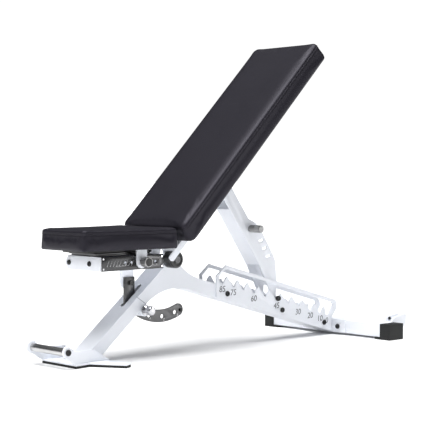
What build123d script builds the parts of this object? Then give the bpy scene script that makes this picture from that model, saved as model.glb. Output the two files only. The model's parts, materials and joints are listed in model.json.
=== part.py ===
from build123d import *
from math import acos, atan2, cos, degrees, hypot, radians, sin, sqrt, tan
import os

os.makedirs("parts", exist_ok=True)

# Adjustable weight bench, millimetres and degrees, +Z up, +X from the seat to the rear feet.
# The origin is under the middle of the bench, on the floor. The user's left side is +Y.
# Most pieces are drawn from the main pivot axle, which the back, the seat and the frame share.

# Driving dimensions: frame
pivot_height = 321.0          # floor to the main pivot axle
leg_reach = 459.5             # axle to the carry handle
spine_reach = 820.0           # axle to the front face of the rear feet
leg_angle = 39.4              # leg to the floor
leg_depth = 42.0
leg_offset = 7.5              # leg's front face below the axle's centre
spine_end_low = 10.6          # floor to the spine's underside, at the rear feet's front face
spine_depth = 46.0
spine_drop = 80.0             # axle to the spine's underside, square to it
frame_half = 40.0             # half width of the leg and the spine
tube_wall = 3.0
plate = 6.0                   # laser cut steel plate
arch_radius = 210.0
gap = 1.0                     # between pieces that pass each other
running = 0.05                # radial clearance of a turning fit

# Driving dimensions: back and strut
back_angle = 45.0             # back rest to the floor, at rest
back_length = 921.0
back_half = 162.5
board_rise = 40.0             # axle to the underside of the back's board
pad_thickness = 68.0
back_start = 45.0             # axle to the back pad's lower edge, along the pad
strut_station = 355.0         # axle to the strut's pin, along the pad
seated_pin = 514.0            # axle to the ladder pin at rest, along X
pin_lift = 12.5               # ladder pin's centre above the spine
pin_radius = 6.35
ladder_angles = (85, 75, 67.5, 60, 52.5, 45, 37.5, 30, 20, 10, 0)

# Driving dimensions: seat
seat_length = 364.0
seat_front_half = 115.0
seat_rear_half = 149.5
seat_corner = 14.0
seat_gap = 50.0               # axle to the seat pad's rear edge
seat_thickness = 65.6
carriage_front = 329.0        # axle to the carriage's front face
carriage_rear = 66.0
carriage_half = 90.0
carriage_top = 22.0           # above the axle
carriage_bottom = -24.0

# Driving dimensions: feet
handle_height = 54.6
handle_radius = 12.7
ear_radius = 20.0
mat_thickness = 8.0
foot_half = 91.0
foot_tail_half = 186.0
crossbar_half = 319.2
crossbar_depth = 71.0
crossbar_bottom = 9.0
crossbar_top = 55.0
cap_depth = 79.0
cap_length = 47.7
bracket_reach = 160.0         # front face of the rear feet to the storage brackets' tips

# Worked out from the driving dimensions
pad_face = board_rise + pad_thickness
spine_fall = pivot_height - spine_end_low
spine_angle = degrees(
    acos(spine_drop / hypot(spine_fall, spine_reach)) - atan2(spine_reach, spine_fall)
)
front_length = leg_reach + ear_radius
rear_length = spine_reach + bracket_reach
pivot_x = (front_length - rear_length) / 2
foot_top = mat_thickness + plate
axle_radius = 8.0
leg_back = leg_offset + leg_depth
spine_slope = tan(radians(spine_angle))
spine_cos = cos(radians(spine_angle))
board_thickness = 12.0
seat_board_thickness = 8.0
SIDES = (("near", -1), ("far", 1))

# Across the bench from the frame inwards: the back's ears, the tilt arm, the strut and its lugs
ear_gap = 2.0
arm_gap = 4.0
arm_slot_gap = 2.5
strut_gap = 5.0
lug_gap = 7.0
back_tube_gap = 4.0
back_ear_outer = frame_half - plate - ear_gap
back_ear_inner = back_ear_outer - plate
arm_half = back_ear_inner - arm_gap
arm_slot_half = arm_half + arm_slot_gap
strut_outer = frame_half - strut_gap
strut_inner = strut_outer - plate
lug_outer = strut_inner - lug_gap
lug_inner = lug_outer - plate


def spot(x, z):
    """Point on a side plane, given from the main axle."""
    return (pivot_x + x, pivot_height + z)


def side_plane(y):
    """Plane across the bench at y, drawn in X and Z; shapes grow towards -Y."""
    return Plane.XZ.offset(-y)


def slab(side, inner, outer):
    """Plane of the +Y face of a plate that lies from inner to outer on one side."""
    return side_plane(max(side * inner, side * outer))


def leg_point(along, below):
    """Point in the leg's own directions, from the axle."""
    turn = radians(leg_angle)
    return spot(along * cos(turn) + below * sin(turn), along * sin(turn) - below * cos(turn))


def spine_low(x):
    """Height of the spine's underside, from the axle."""
    return -spine_drop / spine_cos - spine_slope * x


def spine_high(x):
    """Height of the spine's upper face, from the axle."""
    return spine_low(x) + spine_depth / spine_cos


def ladder_point(x, rise):
    """Point at a rise above the line of the seated ladder pins, square to it."""
    turn = radians(spine_angle)
    base = spine_high(x) + pin_lift / spine_cos
    return spot(x + rise * sin(turn), base + rise * cos(turn))


def polygon(points, mode=Mode.ADD):
    """Closed face through the points, in the sketch that is open."""
    with BuildLine() as outline:
        Polyline(*points, close=True)
    make_face(outline.edges(), mode=mode)


def finish(piece, name):
    """Label a finished piece and write its STEP file."""
    piece.part.label = name
    export_step(piece.part, f"parts/{name}.step")


# Planes that the pads and the strut are drawn on
lean = radians(back_angle)
back_plane = Plane(
    origin=(pivot_x, 0, pivot_height),
    x_dir=(cos(lean), 0, sin(lean)),
    z_dir=(-sin(lean), 0, cos(lean)),
)


def back_point(along, above):
    """Point in the back rest's own directions, from the axle."""
    return spot(
        along * cos(lean) - above * sin(lean),
        along * sin(lean) + above * cos(lean),
    )


# Strut linkage: the strut's pin turns with the back, and the ladder pin stays on the ladder line
pin_line = spine_high(0) + pin_lift / spine_cos
seated_z = pin_line - spine_slope * seated_pin
strut_x = strut_station * cos(lean)
strut_z = strut_station * sin(lean)
strut_length = hypot(seated_pin - strut_x, seated_z - strut_z)
strut_along = ((seated_pin - strut_x) / strut_length, (seated_z - strut_z) / strut_length)


def strut_point(along, across):
    """Point in the strut's own directions, from its upper pin; across is to the rear."""
    u, w = strut_along
    return spot(strut_x + along * u - across * w, strut_z + along * w + across * u)


def seated_at(angle):
    """X of the ladder pin, from the axle, with the back at an angle to the floor."""
    tx = strut_station * cos(radians(angle))
    tz = strut_station * sin(radians(angle))
    square = 1 + spine_slope**2
    half = -tx - spine_slope * (pin_line - tz)
    rest = tx**2 + (pin_line - tz) ** 2 - strut_length**2
    return (-half + sqrt(half**2 - square * rest)) / square


# ---------------------------------------------------------------- front foot

foot_front = -leg_reach + 35.5
foot_waist = foot_front + 59.0
foot_tail = foot_waist + 65.0
foot_rear = foot_tail + 30.0
waist_half = 84.0


def foot_outline(inset):
    """Plan of the front foot, hourglass shaped, drawn on XY."""
    half_plan = [
        (foot_front + inset, foot_half - inset),
        (foot_waist, waist_half - inset),
        (foot_tail + inset, foot_tail_half - inset),
        (foot_rear - inset, foot_tail_half - 14.0 - inset),
        (foot_rear + 4.0 - inset, foot_tail_half - 26.0),
        (foot_rear - 14.0 - inset, waist_half),
    ]
    whole = half_plan + [(x, -y) for x, y in reversed(half_plan)]
    polygon([(pivot_x + x, y) for x, y in whole])


with BuildPart() as front_foot_mat:
    with BuildSketch(Plane.XY):
        foot_outline(inset=0.5)
    extrude(amount=mat_thickness)
finish(front_foot_mat, "front_foot_mat")

with BuildPart() as front_foot_plate:
    with BuildSketch(Plane.XY.offset(mat_thickness)):
        foot_outline(inset=0.0)
    extrude(amount=plate)
finish(front_foot_plate, "front_foot_plate")

# The side plates run straight beside the leg and splay outwards to the handle
side_half = 79.0
splay = 0.17
side_bend = foot_waist + 5.0
side_rear = foot_waist + 82.0
handle_x = -leg_reach
handle_z = handle_height - pivot_height
ear_front = handle_x - ear_radius
side_top = 52.0 - pivot_height
side_low = foot_top - pivot_height


def side_face(x):
    """Distance of a side plate's outer face from the middle of the bench."""
    return side_half + splay * max(0.0, side_bend - x)


for side_name, side in SIDES:
    with BuildPart() as foot_side:
        with BuildSketch(Plane.XY.offset(foot_top)):
            outer = [(x, side_face(x)) for x in (ear_front - 2.0, side_bend, side_rear)]
            inner = [(x, y - plate) for x, y in reversed(outer)]
            polygon([(pivot_x + x, side * y) for x, y in outer + inner])
        extrude(amount=handle_height + ear_radius)
        with BuildSketch(side_plane(0)):
            with BuildLine():
                ear_top = (handle_x + 0.4 * ear_radius, handle_z + 0.917 * ear_radius)
                ear_low = (handle_x - 0.1 * ear_radius, handle_z - 0.995 * ear_radius)
                ThreePointArc(
                    spot(*ear_low),
                    spot(handle_x - ear_radius, handle_z),
                    spot(*ear_top),
                )
                Polyline(
                    spot(*ear_top),
                    spot(handle_x + 1.3 * ear_radius, side_top + 2.0),
                    spot(side_bend + 16.0, side_top),
                    spot(side_rear, side_low + 2.0),
                    spot(side_rear, side_low),
                    spot(foot_front - 5.0, side_low),
                    spot(*ear_low),
                )
            make_face()
        extrude(amount=2 * foot_half, both=True, mode=Mode.INTERSECT)
        with BuildSketch(side_plane(0)):
            with Locations(spot(handle_x, handle_z)):
                Circle(5.0)
        extrude(amount=2 * foot_half, both=True, mode=Mode.SUBTRACT)
    finish(foot_side, f"foot_side_plate_{side_name}")

handle_half = side_face(handle_x + handle_radius) - plate
with BuildPart() as carry_handle:
    with BuildSketch(side_plane(handle_half)):
        with Locations(spot(handle_x, handle_z)):
            Circle(handle_radius)
    extrude(amount=2 * handle_half)
finish(carry_handle, "carry_handle")

handle_bolt_radius = 10.5
with BuildPart() as handle_bolts:
    for side_name, side in SIDES:
        face = Plane(
            origin=(pivot_x + handle_x, side * side_face(handle_x), handle_height),
            z_dir=(splay, side, 0),
        )
        with BuildSketch(face):
            Circle(handle_bolt_radius)
        extrude(amount=5.0)
finish(handle_bolts, "handle_bolts")

# ---------------------------------------------------------------- leg, spine and gussets

turn = radians(leg_angle)


def leg_at_floor(below):
    """Distance along the leg to the foot plate's top, on a line below the axle."""
    return (side_low + below * cos(turn)) / sin(turn)


def leg_at_spine(below):
    """Distance along the leg to the line of the spine's upper face."""
    rise = spine_high(0) + below * (cos(turn) - spine_slope * sin(turn))
    return rise / (sin(turn) + spine_slope * cos(turn))


def leg_outline(inset):
    """Side view of the leg tube."""
    top = leg_offset + inset
    low = leg_back - inset
    polygon(
        [
            leg_point(leg_at_floor(top), top),
            leg_point(leg_at_spine(top) - inset, top),
            leg_point(leg_at_spine(low) - inset, low),
            leg_point(leg_at_floor(low), low),
        ]
    )


slot_inner = 120.0
slot_outer = 228.0
slot_half = 8.0

face_x, face_z = leg_point(0, leg_offset)
leg_face = Plane(
    origin=(face_x, 0, face_z),
    x_dir=(cos(turn), 0, sin(turn)),
    z_dir=(-sin(turn), 0, cos(turn)),
)

with BuildPart() as leg_tube:
    with BuildSketch(side_plane(frame_half)):
        leg_outline(inset=0.0)
    extrude(amount=2 * frame_half)
    with BuildSketch(side_plane(frame_half - tube_wall)):
        leg_outline(inset=tube_wall)
    extrude(amount=2 * (frame_half - tube_wall), mode=Mode.SUBTRACT)
    with BuildSketch(leg_face):
        with Locations((-(slot_inner + slot_outer) / 2, 0)):
            SlotOverall(slot_outer - slot_inner, 2 * slot_half)
    extrude(amount=-leg_depth, mode=Mode.SUBTRACT)
finish(leg_tube, "leg_tube")

flange_front = spine_reach - 2.0
spine_end = flange_front


def leg_back_x(z_line):
    """X where the leg's rear face meets a line of the spine, z_line at the axle."""
    along = (z_line + leg_back * (cos(turn) - spine_slope * sin(turn))) / (
        sin(turn) + spine_slope * cos(turn)
    )
    return along * cos(turn) + leg_back * sin(turn)


def spine_outline(inset):
    """Side view of the spine tube, from the leg's rear face to the rear flange."""
    step = inset / spine_cos
    front_high = leg_back_x(spine_high(0) - step)
    front_low = leg_back_x(spine_low(0) + step)
    polygon(
        [
            spot(front_low, spine_low(front_low) + step),
            spot(front_high, spine_high(front_high) - step),
            spot(spine_end, spine_high(spine_end) - step),
            spot(spine_end, spine_low(spine_end) + step),
        ]
    )


ladder_bolt_stations = (265.6, 541.3, 767.4)
ladder_bolt_radius = 5.0


def bolt_spots():
    """Places of the ladder bolts, on the spine's middle line."""
    return [
        spot(x, (spine_low(x) + spine_high(x)) / 2) for x in ladder_bolt_stations
    ]


with BuildPart() as spine_tube:
    with BuildSketch(side_plane(frame_half)):
        spine_outline(inset=0.0)
    extrude(amount=2 * frame_half)
    with BuildSketch(side_plane(frame_half - tube_wall)):
        spine_outline(inset=tube_wall)
    extrude(amount=2 * (frame_half - tube_wall), mode=Mode.SUBTRACT)
    with BuildSketch(side_plane(frame_half)):
        with Locations(*bolt_spots()):
            Circle(ladder_bolt_radius)
    extrude(amount=2 * frame_half, mode=Mode.SUBTRACT)
finish(spine_tube, "spine_tube")

# Tilt pin: its hole in the blade, seen from the axle
blade_mid = 195.5
pin_hole_angle = 32.8
tilt_pin_x = -blade_mid * sin(radians(pin_hole_angle))
tilt_pin_z = -blade_mid * cos(radians(pin_hole_angle))
housing_radius = 20.0

corner_x = leg_back_x(spine_low(0))
corner = (corner_x, spine_low(corner_x))
corner_half = radians((180.0 - leg_angle - spine_angle) / 2)
reach = arch_radius / tan(corner_half)
bisect = radians(-90.0 + (leg_angle - spine_angle) / 2)
arch_rise = arch_radius / sin(corner_half) - arch_radius

with BuildPart() as arch_gussets:
    for side_name, side in SIDES:
        with BuildSketch(slab(side, frame_half - plate, frame_half)):
            on_leg = (corner[0] - reach * cos(turn), corner[1] - reach * sin(turn))
            on_spine = (corner[0] + reach * spine_cos, spine_low(corner[0] + reach * spine_cos))
            crown = (
                corner[0] + arch_rise * cos(bisect),
                corner[1] + arch_rise * sin(bisect),
            )
            with BuildLine():
                Line(spot(*on_leg), spot(*corner))
                Line(spot(*corner), spot(*on_spine))
                ThreePointArc(spot(*on_spine), spot(*crown), spot(*on_leg))
            make_face()
            with Locations(spot(tilt_pin_x, tilt_pin_z)):
                Circle(housing_radius, mode=Mode.SUBTRACT)
        extrude(amount=plate)
finish(arch_gussets, "arch_gussets")

# ---------------------------------------------------------------- main pivot

ear_lobe = 24.0
ear_tail = 150.0
ear_front_x = -22.5
with BuildPart() as pivot_ears:
    for side_name, side in SIDES:
        with BuildSketch(slab(side, frame_half - plate, frame_half)):
            left = (-ear_lobe * cos(radians(20)), -ear_lobe * sin(radians(20)))
            right = (ear_lobe * cos(radians(35)), ear_lobe * sin(radians(35)))
            with BuildLine():
                Line(spot(ear_front_x, spine_high(ear_front_x)), spot(*left))
                ThreePointArc(spot(*left), spot(0, ear_lobe), spot(*right))
                Spline(
                    spot(*right),
                    spot(ear_tail, spine_high(ear_tail)),
                    tangents=[
                        (sin(radians(35)), -cos(radians(35))),
                        (spine_cos, -sin(radians(spine_angle))),
                    ],
                )
                Line(
                    spot(ear_tail, spine_high(ear_tail)),
                    spot(ear_front_x, spine_high(ear_front_x)),
                )
            make_face()
            with Locations(spot(0, 0)):
                Circle(axle_radius, mode=Mode.SUBTRACT)
        extrude(amount=plate)
finish(pivot_ears, "pivot_ears")

yoke_riser = 4.0
roller_radius = board_rise - yoke_riser - plate - gap
roller_inner = frame_half + gap
roller_outer = 85.0
with BuildPart() as pivot_axle:
    with BuildSketch(side_plane(roller_outer)):
        with Locations(spot(0, 0)):
            Circle(axle_radius)
    extrude(amount=2 * roller_outer)
finish(pivot_axle, "pivot_axle")

with BuildPart() as hub_rollers:
    for side_name, side in SIDES:
        with BuildSketch(slab(side, roller_inner, roller_outer)):
            with Locations(spot(0, 0)):
                Circle(roller_radius)
                Circle(axle_radius, mode=Mode.SUBTRACT)
        extrude(amount=roller_outer - roller_inner)
finish(hub_rollers, "hub_rollers")

hub_cap_radius = 11.5
with BuildPart() as hub_caps:
    for side_name, side in SIDES:
        with BuildSketch(slab(side, roller_outer, roller_outer + 3.0)):
            with Locations(spot(0, 0)):
                Circle(hub_cap_radius)
        extrude(amount=3.0)
finish(hub_caps, "hub_caps")

# ---------------------------------------------------------------- ladder

ladder_front = 215.0
ladder_rear = spine_end - 8.5
guard_bar = 12.5
seat_radius = pin_radius + 0.65
tip_radius = 3.0
tip_rise = 18.0
tip_setback = 17.0
notch_stations = [seated_at(angle) for angle in ladder_angles]
guard_start = 261.0
guard_line = -33.0 + spine_slope * guard_start
guard_end = spine_reach + 4.0
guard_nose = guard_end + 16.0


def guard_high(x):
    """Height of the guard's outer edge above the ladder, from the axle."""
    return guard_line - spine_slope * x


def ladder_plate_outline():
    """Side view of a ladder plate: body, guard, teeth and pin seats."""
    polygon(
        [
            spot(ladder_front, spine_low(ladder_front) + 4.0),
            spot(ladder_front, guard_high(guard_start) - 35.0),
            spot(guard_start, guard_high(guard_start)),
            spot(guard_end, guard_high(guard_end)),
            spot(guard_end + 10.0, guard_high(guard_end) - 6.0),
            spot(guard_nose, guard_high(guard_end) - 17.0),
            spot(guard_nose, guard_high(guard_end) - 30.0),
            spot(guard_nose - 4.0, guard_high(guard_end) - 38.0),
            spot(ladder_rear, spine_high(ladder_rear)),
            spot(ladder_rear, spine_low(ladder_rear) + 2.0),
            spot(ladder_rear - 5.0, spine_low(ladder_rear - 5.0)),
            spot(ladder_front + 8.0, spine_low(ladder_front + 8.0)),
        ]
    )
    drop = guard_bar / spine_cos
    inner_end = guard_end - 12.0
    window = [
        ladder_point(notch_stations[0] - 14.0, -4.0),
        spot(ladder_front + guard_bar, guard_high(guard_start) - 39.0),
        spot(guard_start - 6.0, guard_high(guard_start - 6.0) - drop - 4.0),
        spot(guard_start + 6.0, guard_high(guard_start + 6.0) - drop),
        spot(inner_end, guard_high(inner_end) - drop),
        spot(inner_end + 6.0, guard_high(inner_end + 6.0) - drop - 8.0),
        spot(inner_end, guard_high(inner_end) - drop - 18.0),
        ladder_point(notch_stations[-1] + 8.0, -4.0),
    ]
    polygon(window, mode=Mode.SUBTRACT)
    for station, following in zip(notch_stations, notch_stations[1:]):
        tip = station + tip_setback
        polygon(
            [
                ladder_point(station + seat_radius, -7.0),
                ladder_point(station + seat_radius, 0.0),
                ladder_point(station + seat_radius + 1.5, 8.0),
                ladder_point(tip - tip_radius, tip_rise),
                ladder_point(tip, tip_rise + tip_radius),
                ladder_point(tip + 0.85 * tip_radius, tip_rise + 0.5 * tip_radius),
                ladder_point(following - seat_radius + 1.0, -3.0),
                ladder_point(following - seat_radius + 1.0, -7.0),
            ]
        )
        with Locations(ladder_point(tip, tip_rise)):
            Circle(tip_radius)
    with Locations(*[ladder_point(station, 0.0) for station in notch_stations]):
        Circle(seat_radius, mode=Mode.SUBTRACT)
    with Locations(*bolt_spots()):
        Circle(ladder_bolt_radius, mode=Mode.SUBTRACT)


for side_name, side in SIDES:
    with BuildPart() as ladder_plate:
        with BuildSketch(slab(side, frame_half, frame_half + plate)):
            ladder_plate_outline()
        extrude(amount=plate)
    finish(ladder_plate, f"ladder_plate_{side_name}")

bolt_head_radius = 10.0
bolt_head = 6.0
with BuildPart() as ladder_bolts:
    for side_name, side in SIDES:
        with BuildSketch(slab(side, frame_half + plate, frame_half + plate + bolt_head)):
            with Locations(*bolt_spots()):
                Circle(bolt_head_radius)
        extrude(amount=bolt_head)
        with BuildSketch(slab(side, frame_half - tube_wall, frame_half + plate)):
            with Locations(*bolt_spots()):
                Circle(ladder_bolt_radius)
        extrude(amount=plate + tube_wall)
finish(ladder_bolts, "ladder_bolts")

# ---------------------------------------------------------------- rear feet

crossbar_x = pivot_x + spine_reach + 4.0
flange_half = 105.0
flange_bolt_y = 70.6
flange_bolt_z = 32.0
crossbar_bolt_radius = 5.0
with BuildPart() as rear_flange:
    with BuildSketch(Plane.YZ.offset(pivot_x + flange_front)):
        with Locations((0, (crossbar_bottom + 58.0) / 2)):
            Rectangle(2 * flange_half, 58.0 - crossbar_bottom)
        with Locations((flange_bolt_y, flange_bolt_z), (-flange_bolt_y, flange_bolt_z)):
            Circle(crossbar_bolt_radius, mode=Mode.SUBTRACT)
    extrude(amount=plate)
finish(rear_flange, "rear_flange")

crossbar_mid = crossbar_x + crossbar_depth / 2
crossbar_z = (crossbar_bottom + crossbar_top) / 2
crossbar_height = crossbar_top - crossbar_bottom
tube_half = crossbar_half - tube_wall
with BuildPart() as rear_crossbar:
    with BuildSketch(side_plane(tube_half)):
        with Locations((crossbar_mid, crossbar_z)):
            Rectangle(crossbar_depth, crossbar_height)
            Rectangle(
                crossbar_depth - 2 * tube_wall,
                crossbar_height - 2 * tube_wall,
                mode=Mode.SUBTRACT,
            )
    extrude(amount=2 * tube_half)
    with BuildSketch(Plane.YZ.offset(crossbar_x)):
        with Locations((flange_bolt_y, flange_bolt_z), (-flange_bolt_y, flange_bolt_z)):
            Circle(crossbar_bolt_radius)
    extrude(amount=tube_wall, mode=Mode.SUBTRACT)
finish(rear_crossbar, "rear_crossbar")

with BuildPart() as crossbar_bolts:
    for y in (-flange_bolt_y, flange_bolt_y):
        with BuildSketch(Plane.YZ.offset(pivot_x + flange_front - bolt_head)):
            with Locations((y, flange_bolt_z)):
                Circle(bolt_head_radius)
        extrude(amount=bolt_head)
        with BuildSketch(Plane.YZ.offset(pivot_x + flange_front)):
            with Locations((y, flange_bolt_z)):
                Circle(crossbar_bolt_radius)
        extrude(amount=plate + tube_wall)
finish(crossbar_bolts, "crossbar_bolts")

cap_top = 58.0
lip_length = 25.0
cap_mid = pivot_x + spine_reach + cap_depth / 2
for side_name, side in SIDES:
    with BuildPart() as foot_cap:
        with BuildSketch(slab(side, crossbar_half - cap_length, crossbar_half)):
            with Locations((cap_mid, cap_top / 2)):
                Rectangle(cap_depth, cap_top)
        extrude(amount=cap_length)
        with BuildSketch(slab(side, crossbar_half - cap_length - lip_length, crossbar_half)):
            with Locations((cap_mid, crossbar_bottom / 2)):
                Rectangle(cap_depth, crossbar_bottom)
        extrude(amount=cap_length + lip_length)
        with BuildSketch(slab(side, crossbar_half - cap_length, tube_half)):
            with Locations((crossbar_mid, crossbar_z)):
                Rectangle(crossbar_depth, crossbar_height)
        extrude(amount=tube_half - crossbar_half + cap_length, mode=Mode.SUBTRACT)
        upright = foot_cap.edges().filter_by(Axis.Z).group_by(Axis.Y)
        fillet(upright[0 if side < 0 else -1], radius=3.0)
    finish(foot_cap, f"foot_cap_{side_name}")

bracket_outer = 268.0
bracket_inner = 229.0
bracket_tip = spine_reach + bracket_reach
tube_back = spine_reach + 4.0 + crossbar_depth
bracket_low = crossbar_top - 24.0
bracket_bolt = (tube_back + 24.0, crossbar_top + 13.0 - pivot_height)


def bracket_outline(top):
    """Side view of a storage bracket, up to its top above the crossbar."""
    polygon(
        [
            (pivot_x + tube_back, bracket_low),
            (pivot_x + tube_back, crossbar_top + 0.1 * top),
            (pivot_x + tube_back + 7.0, crossbar_top + 0.5 * top),
            (pivot_x + tube_back + 20.0, crossbar_top + 0.72 * top),
            (pivot_x + bracket_tip - 3.0, crossbar_top + top),
            (pivot_x + bracket_tip, crossbar_top + top - 4.0),
            (pivot_x + bracket_tip - 2.0, crossbar_top - 5.0),
            (pivot_x + bracket_tip - 20.0, bracket_low),
        ]
    )


for side_name, side in SIDES:
    with BuildPart() as storage_bracket:
        for inner in (bracket_inner, bracket_outer - plate):
            with BuildSketch(slab(side, inner, inner + plate)):
                bracket_outline(top=29.0)
            extrude(amount=plate)
        with BuildSketch(slab(side, bracket_inner, bracket_outer)):
            web_tip = pivot_x + bracket_tip - 12.0
            polygon(
                [
                    (pivot_x + tube_back, crossbar_top - plate),
                    (pivot_x + tube_back, crossbar_top),
                    (web_tip, crossbar_top + 8.0),
                    (web_tip, crossbar_top + 8.0 - plate),
                ]
            )
        extrude(amount=bracket_outer - bracket_inner)
    finish(storage_bracket, f"storage_bracket_{side_name}")

with BuildPart() as bracket_bolts:
    for side_name, side in SIDES:
        with BuildSketch(slab(side, bracket_inner + plate, bracket_inner + plate + bolt_head)):
            with Locations(spot(*bracket_bolt)):
                Circle(6.5)
        extrude(amount=bolt_head)
finish(bracket_bolts, "bracket_bolts")

# ---------------------------------------------------------------- tilt pin

housing_face = 44.0
housing_root = 6.0
tilt_pin_radius = 6.0
with BuildPart() as tilt_pin_housing:
    with BuildSketch(side_plane(-housing_root)):
        with Locations(spot(tilt_pin_x, tilt_pin_z)):
            Circle(housing_radius)
            Circle(tilt_pin_radius + running, mode=Mode.SUBTRACT)
        polygon(
            [
                leg_point(-slot_outer - 40.0, 0),
                leg_point(-slot_inner, 0),
                leg_point(-slot_inner, leg_back),
                leg_point(-slot_outer - 40.0, leg_back),
            ],
            mode=Mode.SUBTRACT,
        )
    extrude(amount=housing_face - housing_root)
finish(tilt_pin_housing, "tilt_pin_housing")

blade_half = 3.0
pin_knob_face = 82.0
with BuildPart() as tilt_pin:
    with BuildSketch(side_plane(-blade_half - 0.4)):
        with Locations(spot(tilt_pin_x, tilt_pin_z)):
            Circle(tilt_pin_radius)
    extrude(amount=pin_knob_face - 6.0 - blade_half - 0.4)
finish(tilt_pin, "tilt_pin")

with BuildPart() as tilt_pin_knob:
    with BuildSketch(side_plane(-housing_face - 2.0)):
        with Locations(spot(tilt_pin_x, tilt_pin_z)):
            Circle(16.0)
    extrude(amount=pin_knob_face - housing_face - 2.0)
    with BuildSketch(side_plane(-housing_face - 2.0)):
        with Locations(spot(tilt_pin_x, tilt_pin_z)):
            Circle(tilt_pin_radius)
    extrude(amount=pin_knob_face - 6.0 - housing_face - 2.0, mode=Mode.SUBTRACT)
finish(tilt_pin_knob, "tilt_pin_knob")

# ---------------------------------------------------------------- back rest

bush_radius = 11.0
with BuildPart() as pivot_bushes:
    for side_name, side in SIDES:
        with BuildSketch(slab(side, back_ear_inner, back_ear_outer)):
            with Locations(spot(0, 0)):
                Circle(bush_radius)
                Circle(axle_radius + running, mode=Mode.SUBTRACT)
        extrude(amount=plate)
finish(pivot_bushes, "pivot_bushes")

board_low = pad_face - pad_thickness
pad_low = board_low + board_thickness
pad_corner = 24.0
pad_roll = 12.0
back_mid = back_start + back_length / 2

with BuildPart() as back_pad:
    with BuildSketch(back_plane.offset(pad_low)):
        with Locations((back_mid, 0)):
            RectangleRounded(back_length, 2 * back_half, pad_corner)
    extrude(amount=pad_thickness - board_thickness)
    face_up = back_pad.faces().sort_by(Axis(back_plane.origin, back_plane.z_dir))[-1]
    fillet(face_up.edges(), radius=pad_roll)
finish(back_pad, "back_pad")

board_inset = 3.0
with BuildPart() as back_board:
    with BuildSketch(back_plane.offset(board_low)):
        with Locations((back_mid, 0)):
            RectangleRounded(
                back_length - 2 * board_inset,
                2 * (back_half - board_inset),
                pad_corner - board_inset,
            )
    extrude(amount=board_thickness)
finish(back_board, "back_board")

yoke_end = 110.0
back_tube_half = strut_inner - back_tube_gap
back_tube_depth = 25.0
back_tube_end = back_start + back_length - 110.0
with BuildPart() as back_tube:
    with BuildSketch(back_plane.offset(board_low - back_tube_depth)):
        with Locations(((yoke_end + back_tube_end) / 2, 0)):
            Rectangle(back_tube_end - yoke_end, 2 * back_tube_half)
    extrude(amount=back_tube_depth)
    with BuildSketch(back_plane.offset(board_low - back_tube_depth + tube_wall)):
        with Locations(((yoke_end + back_tube_end) / 2, 0)):
            Rectangle(
                back_tube_end - yoke_end - 2 * tube_wall,
                2 * (back_tube_half - tube_wall),
            )
    extrude(amount=back_tube_depth - 2 * tube_wall, mode=Mode.SUBTRACT)
finish(back_tube, "back_tube")

strap_stations = (200.0, 520.0, back_tube_end - 40.0)
strap_half = 120.0
with BuildPart() as back_straps:
    for station in strap_stations:
        for side_name, side in SIDES:
            with BuildSketch(back_plane.offset(board_low - plate)):
                with Locations((station, side * (strap_half + back_tube_half) / 2)):
                    Rectangle(50.0, strap_half - back_tube_half)
            extrude(amount=plate)
finish(back_straps, "back_straps")

with BuildPart() as back_screws:
    for station in strap_stations:
        for side_name, side in SIDES:
            with BuildSketch(back_plane.offset(board_low - plate - 4.0)):
                with Locations((station, side * (strap_half - 20.0))):
                    Circle(7.0)
            extrude(amount=4.0)
finish(back_screws, "back_screws")

# The yoke's web passes over the hub rollers; its flanges hang outside them
web_low = roller_radius + gap
web_high = web_low + plate
yoke_half = 92.0
flange_low = 13.0
flange_start = -24.0
arm_slot_end = 50.0
riser_start = 60.0
with BuildPart() as hinge_yoke:
    with BuildSketch(back_plane.offset(web_low)):
        with Locations(((10.0 + yoke_end) / 2, 0)):
            Rectangle(yoke_end - 10.0, 2 * yoke_half)
        with Locations((arm_slot_end / 2, 0)):
            Rectangle(arm_slot_end, 2 * arm_slot_half, mode=Mode.SUBTRACT)
    extrude(amount=plate)
    with BuildSketch(back_plane.offset(web_high)):
        for side_name, side in SIDES:
            with Locations(
                ((riser_start + yoke_end) / 2, side * (yoke_half + back_ear_inner) / 2)
            ):
                Rectangle(yoke_end - riser_start, yoke_half - back_ear_inner)
    extrude(amount=board_low - web_high)
    for side_name, side in SIDES:
        with BuildSketch(slab(side, yoke_half - plate, yoke_half)):
            polygon(
                [
                    back_point(flange_start + 6.0, flange_low),
                    back_point(yoke_end, flange_low),
                    back_point(yoke_end, web_high),
                    back_point(flange_start + 4.0, web_high),
                    back_point(flange_start, web_high - 4.0),
                    back_point(flange_start, flange_low + 6.0),
                ]
            )
        extrude(amount=plate)
        with BuildSketch(slab(side, back_ear_inner, back_ear_outer)):
            polygon(
                [
                    back_point(-11.3, 11.3),
                    back_point(11.3, -11.3),
                    back_point(80.0, web_low),
                    back_point(10.0, web_low),
                ]
            )
            with Locations(spot(0, 0)):
                Circle(16.0)
                Circle(bush_radius + running, mode=Mode.SUBTRACT)
        extrude(amount=plate)
finish(hinge_yoke, "hinge_yoke")

strut_pin_radius = 8.0
with BuildPart() as strut_lugs:
    for side_name, side in SIDES:
        with BuildSketch(slab(side, lug_inner, lug_outer)):
            polygon(
                [
                    back_point(strut_station - 16.0, 0),
                    back_point(strut_station + 16.0, 0),
                    back_point(strut_station + 26.0, board_low - back_tube_depth),
                    back_point(strut_station - 26.0, board_low - back_tube_depth),
                ]
            )
            with Locations(back_point(strut_station, 0)):
                Circle(board_low - back_tube_depth)
                Circle(strut_pin_radius + running, mode=Mode.SUBTRACT)
        extrude(amount=lug_outer - lug_inner)
finish(strut_lugs, "strut_lugs")

# ---------------------------------------------------------------- strut

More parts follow.
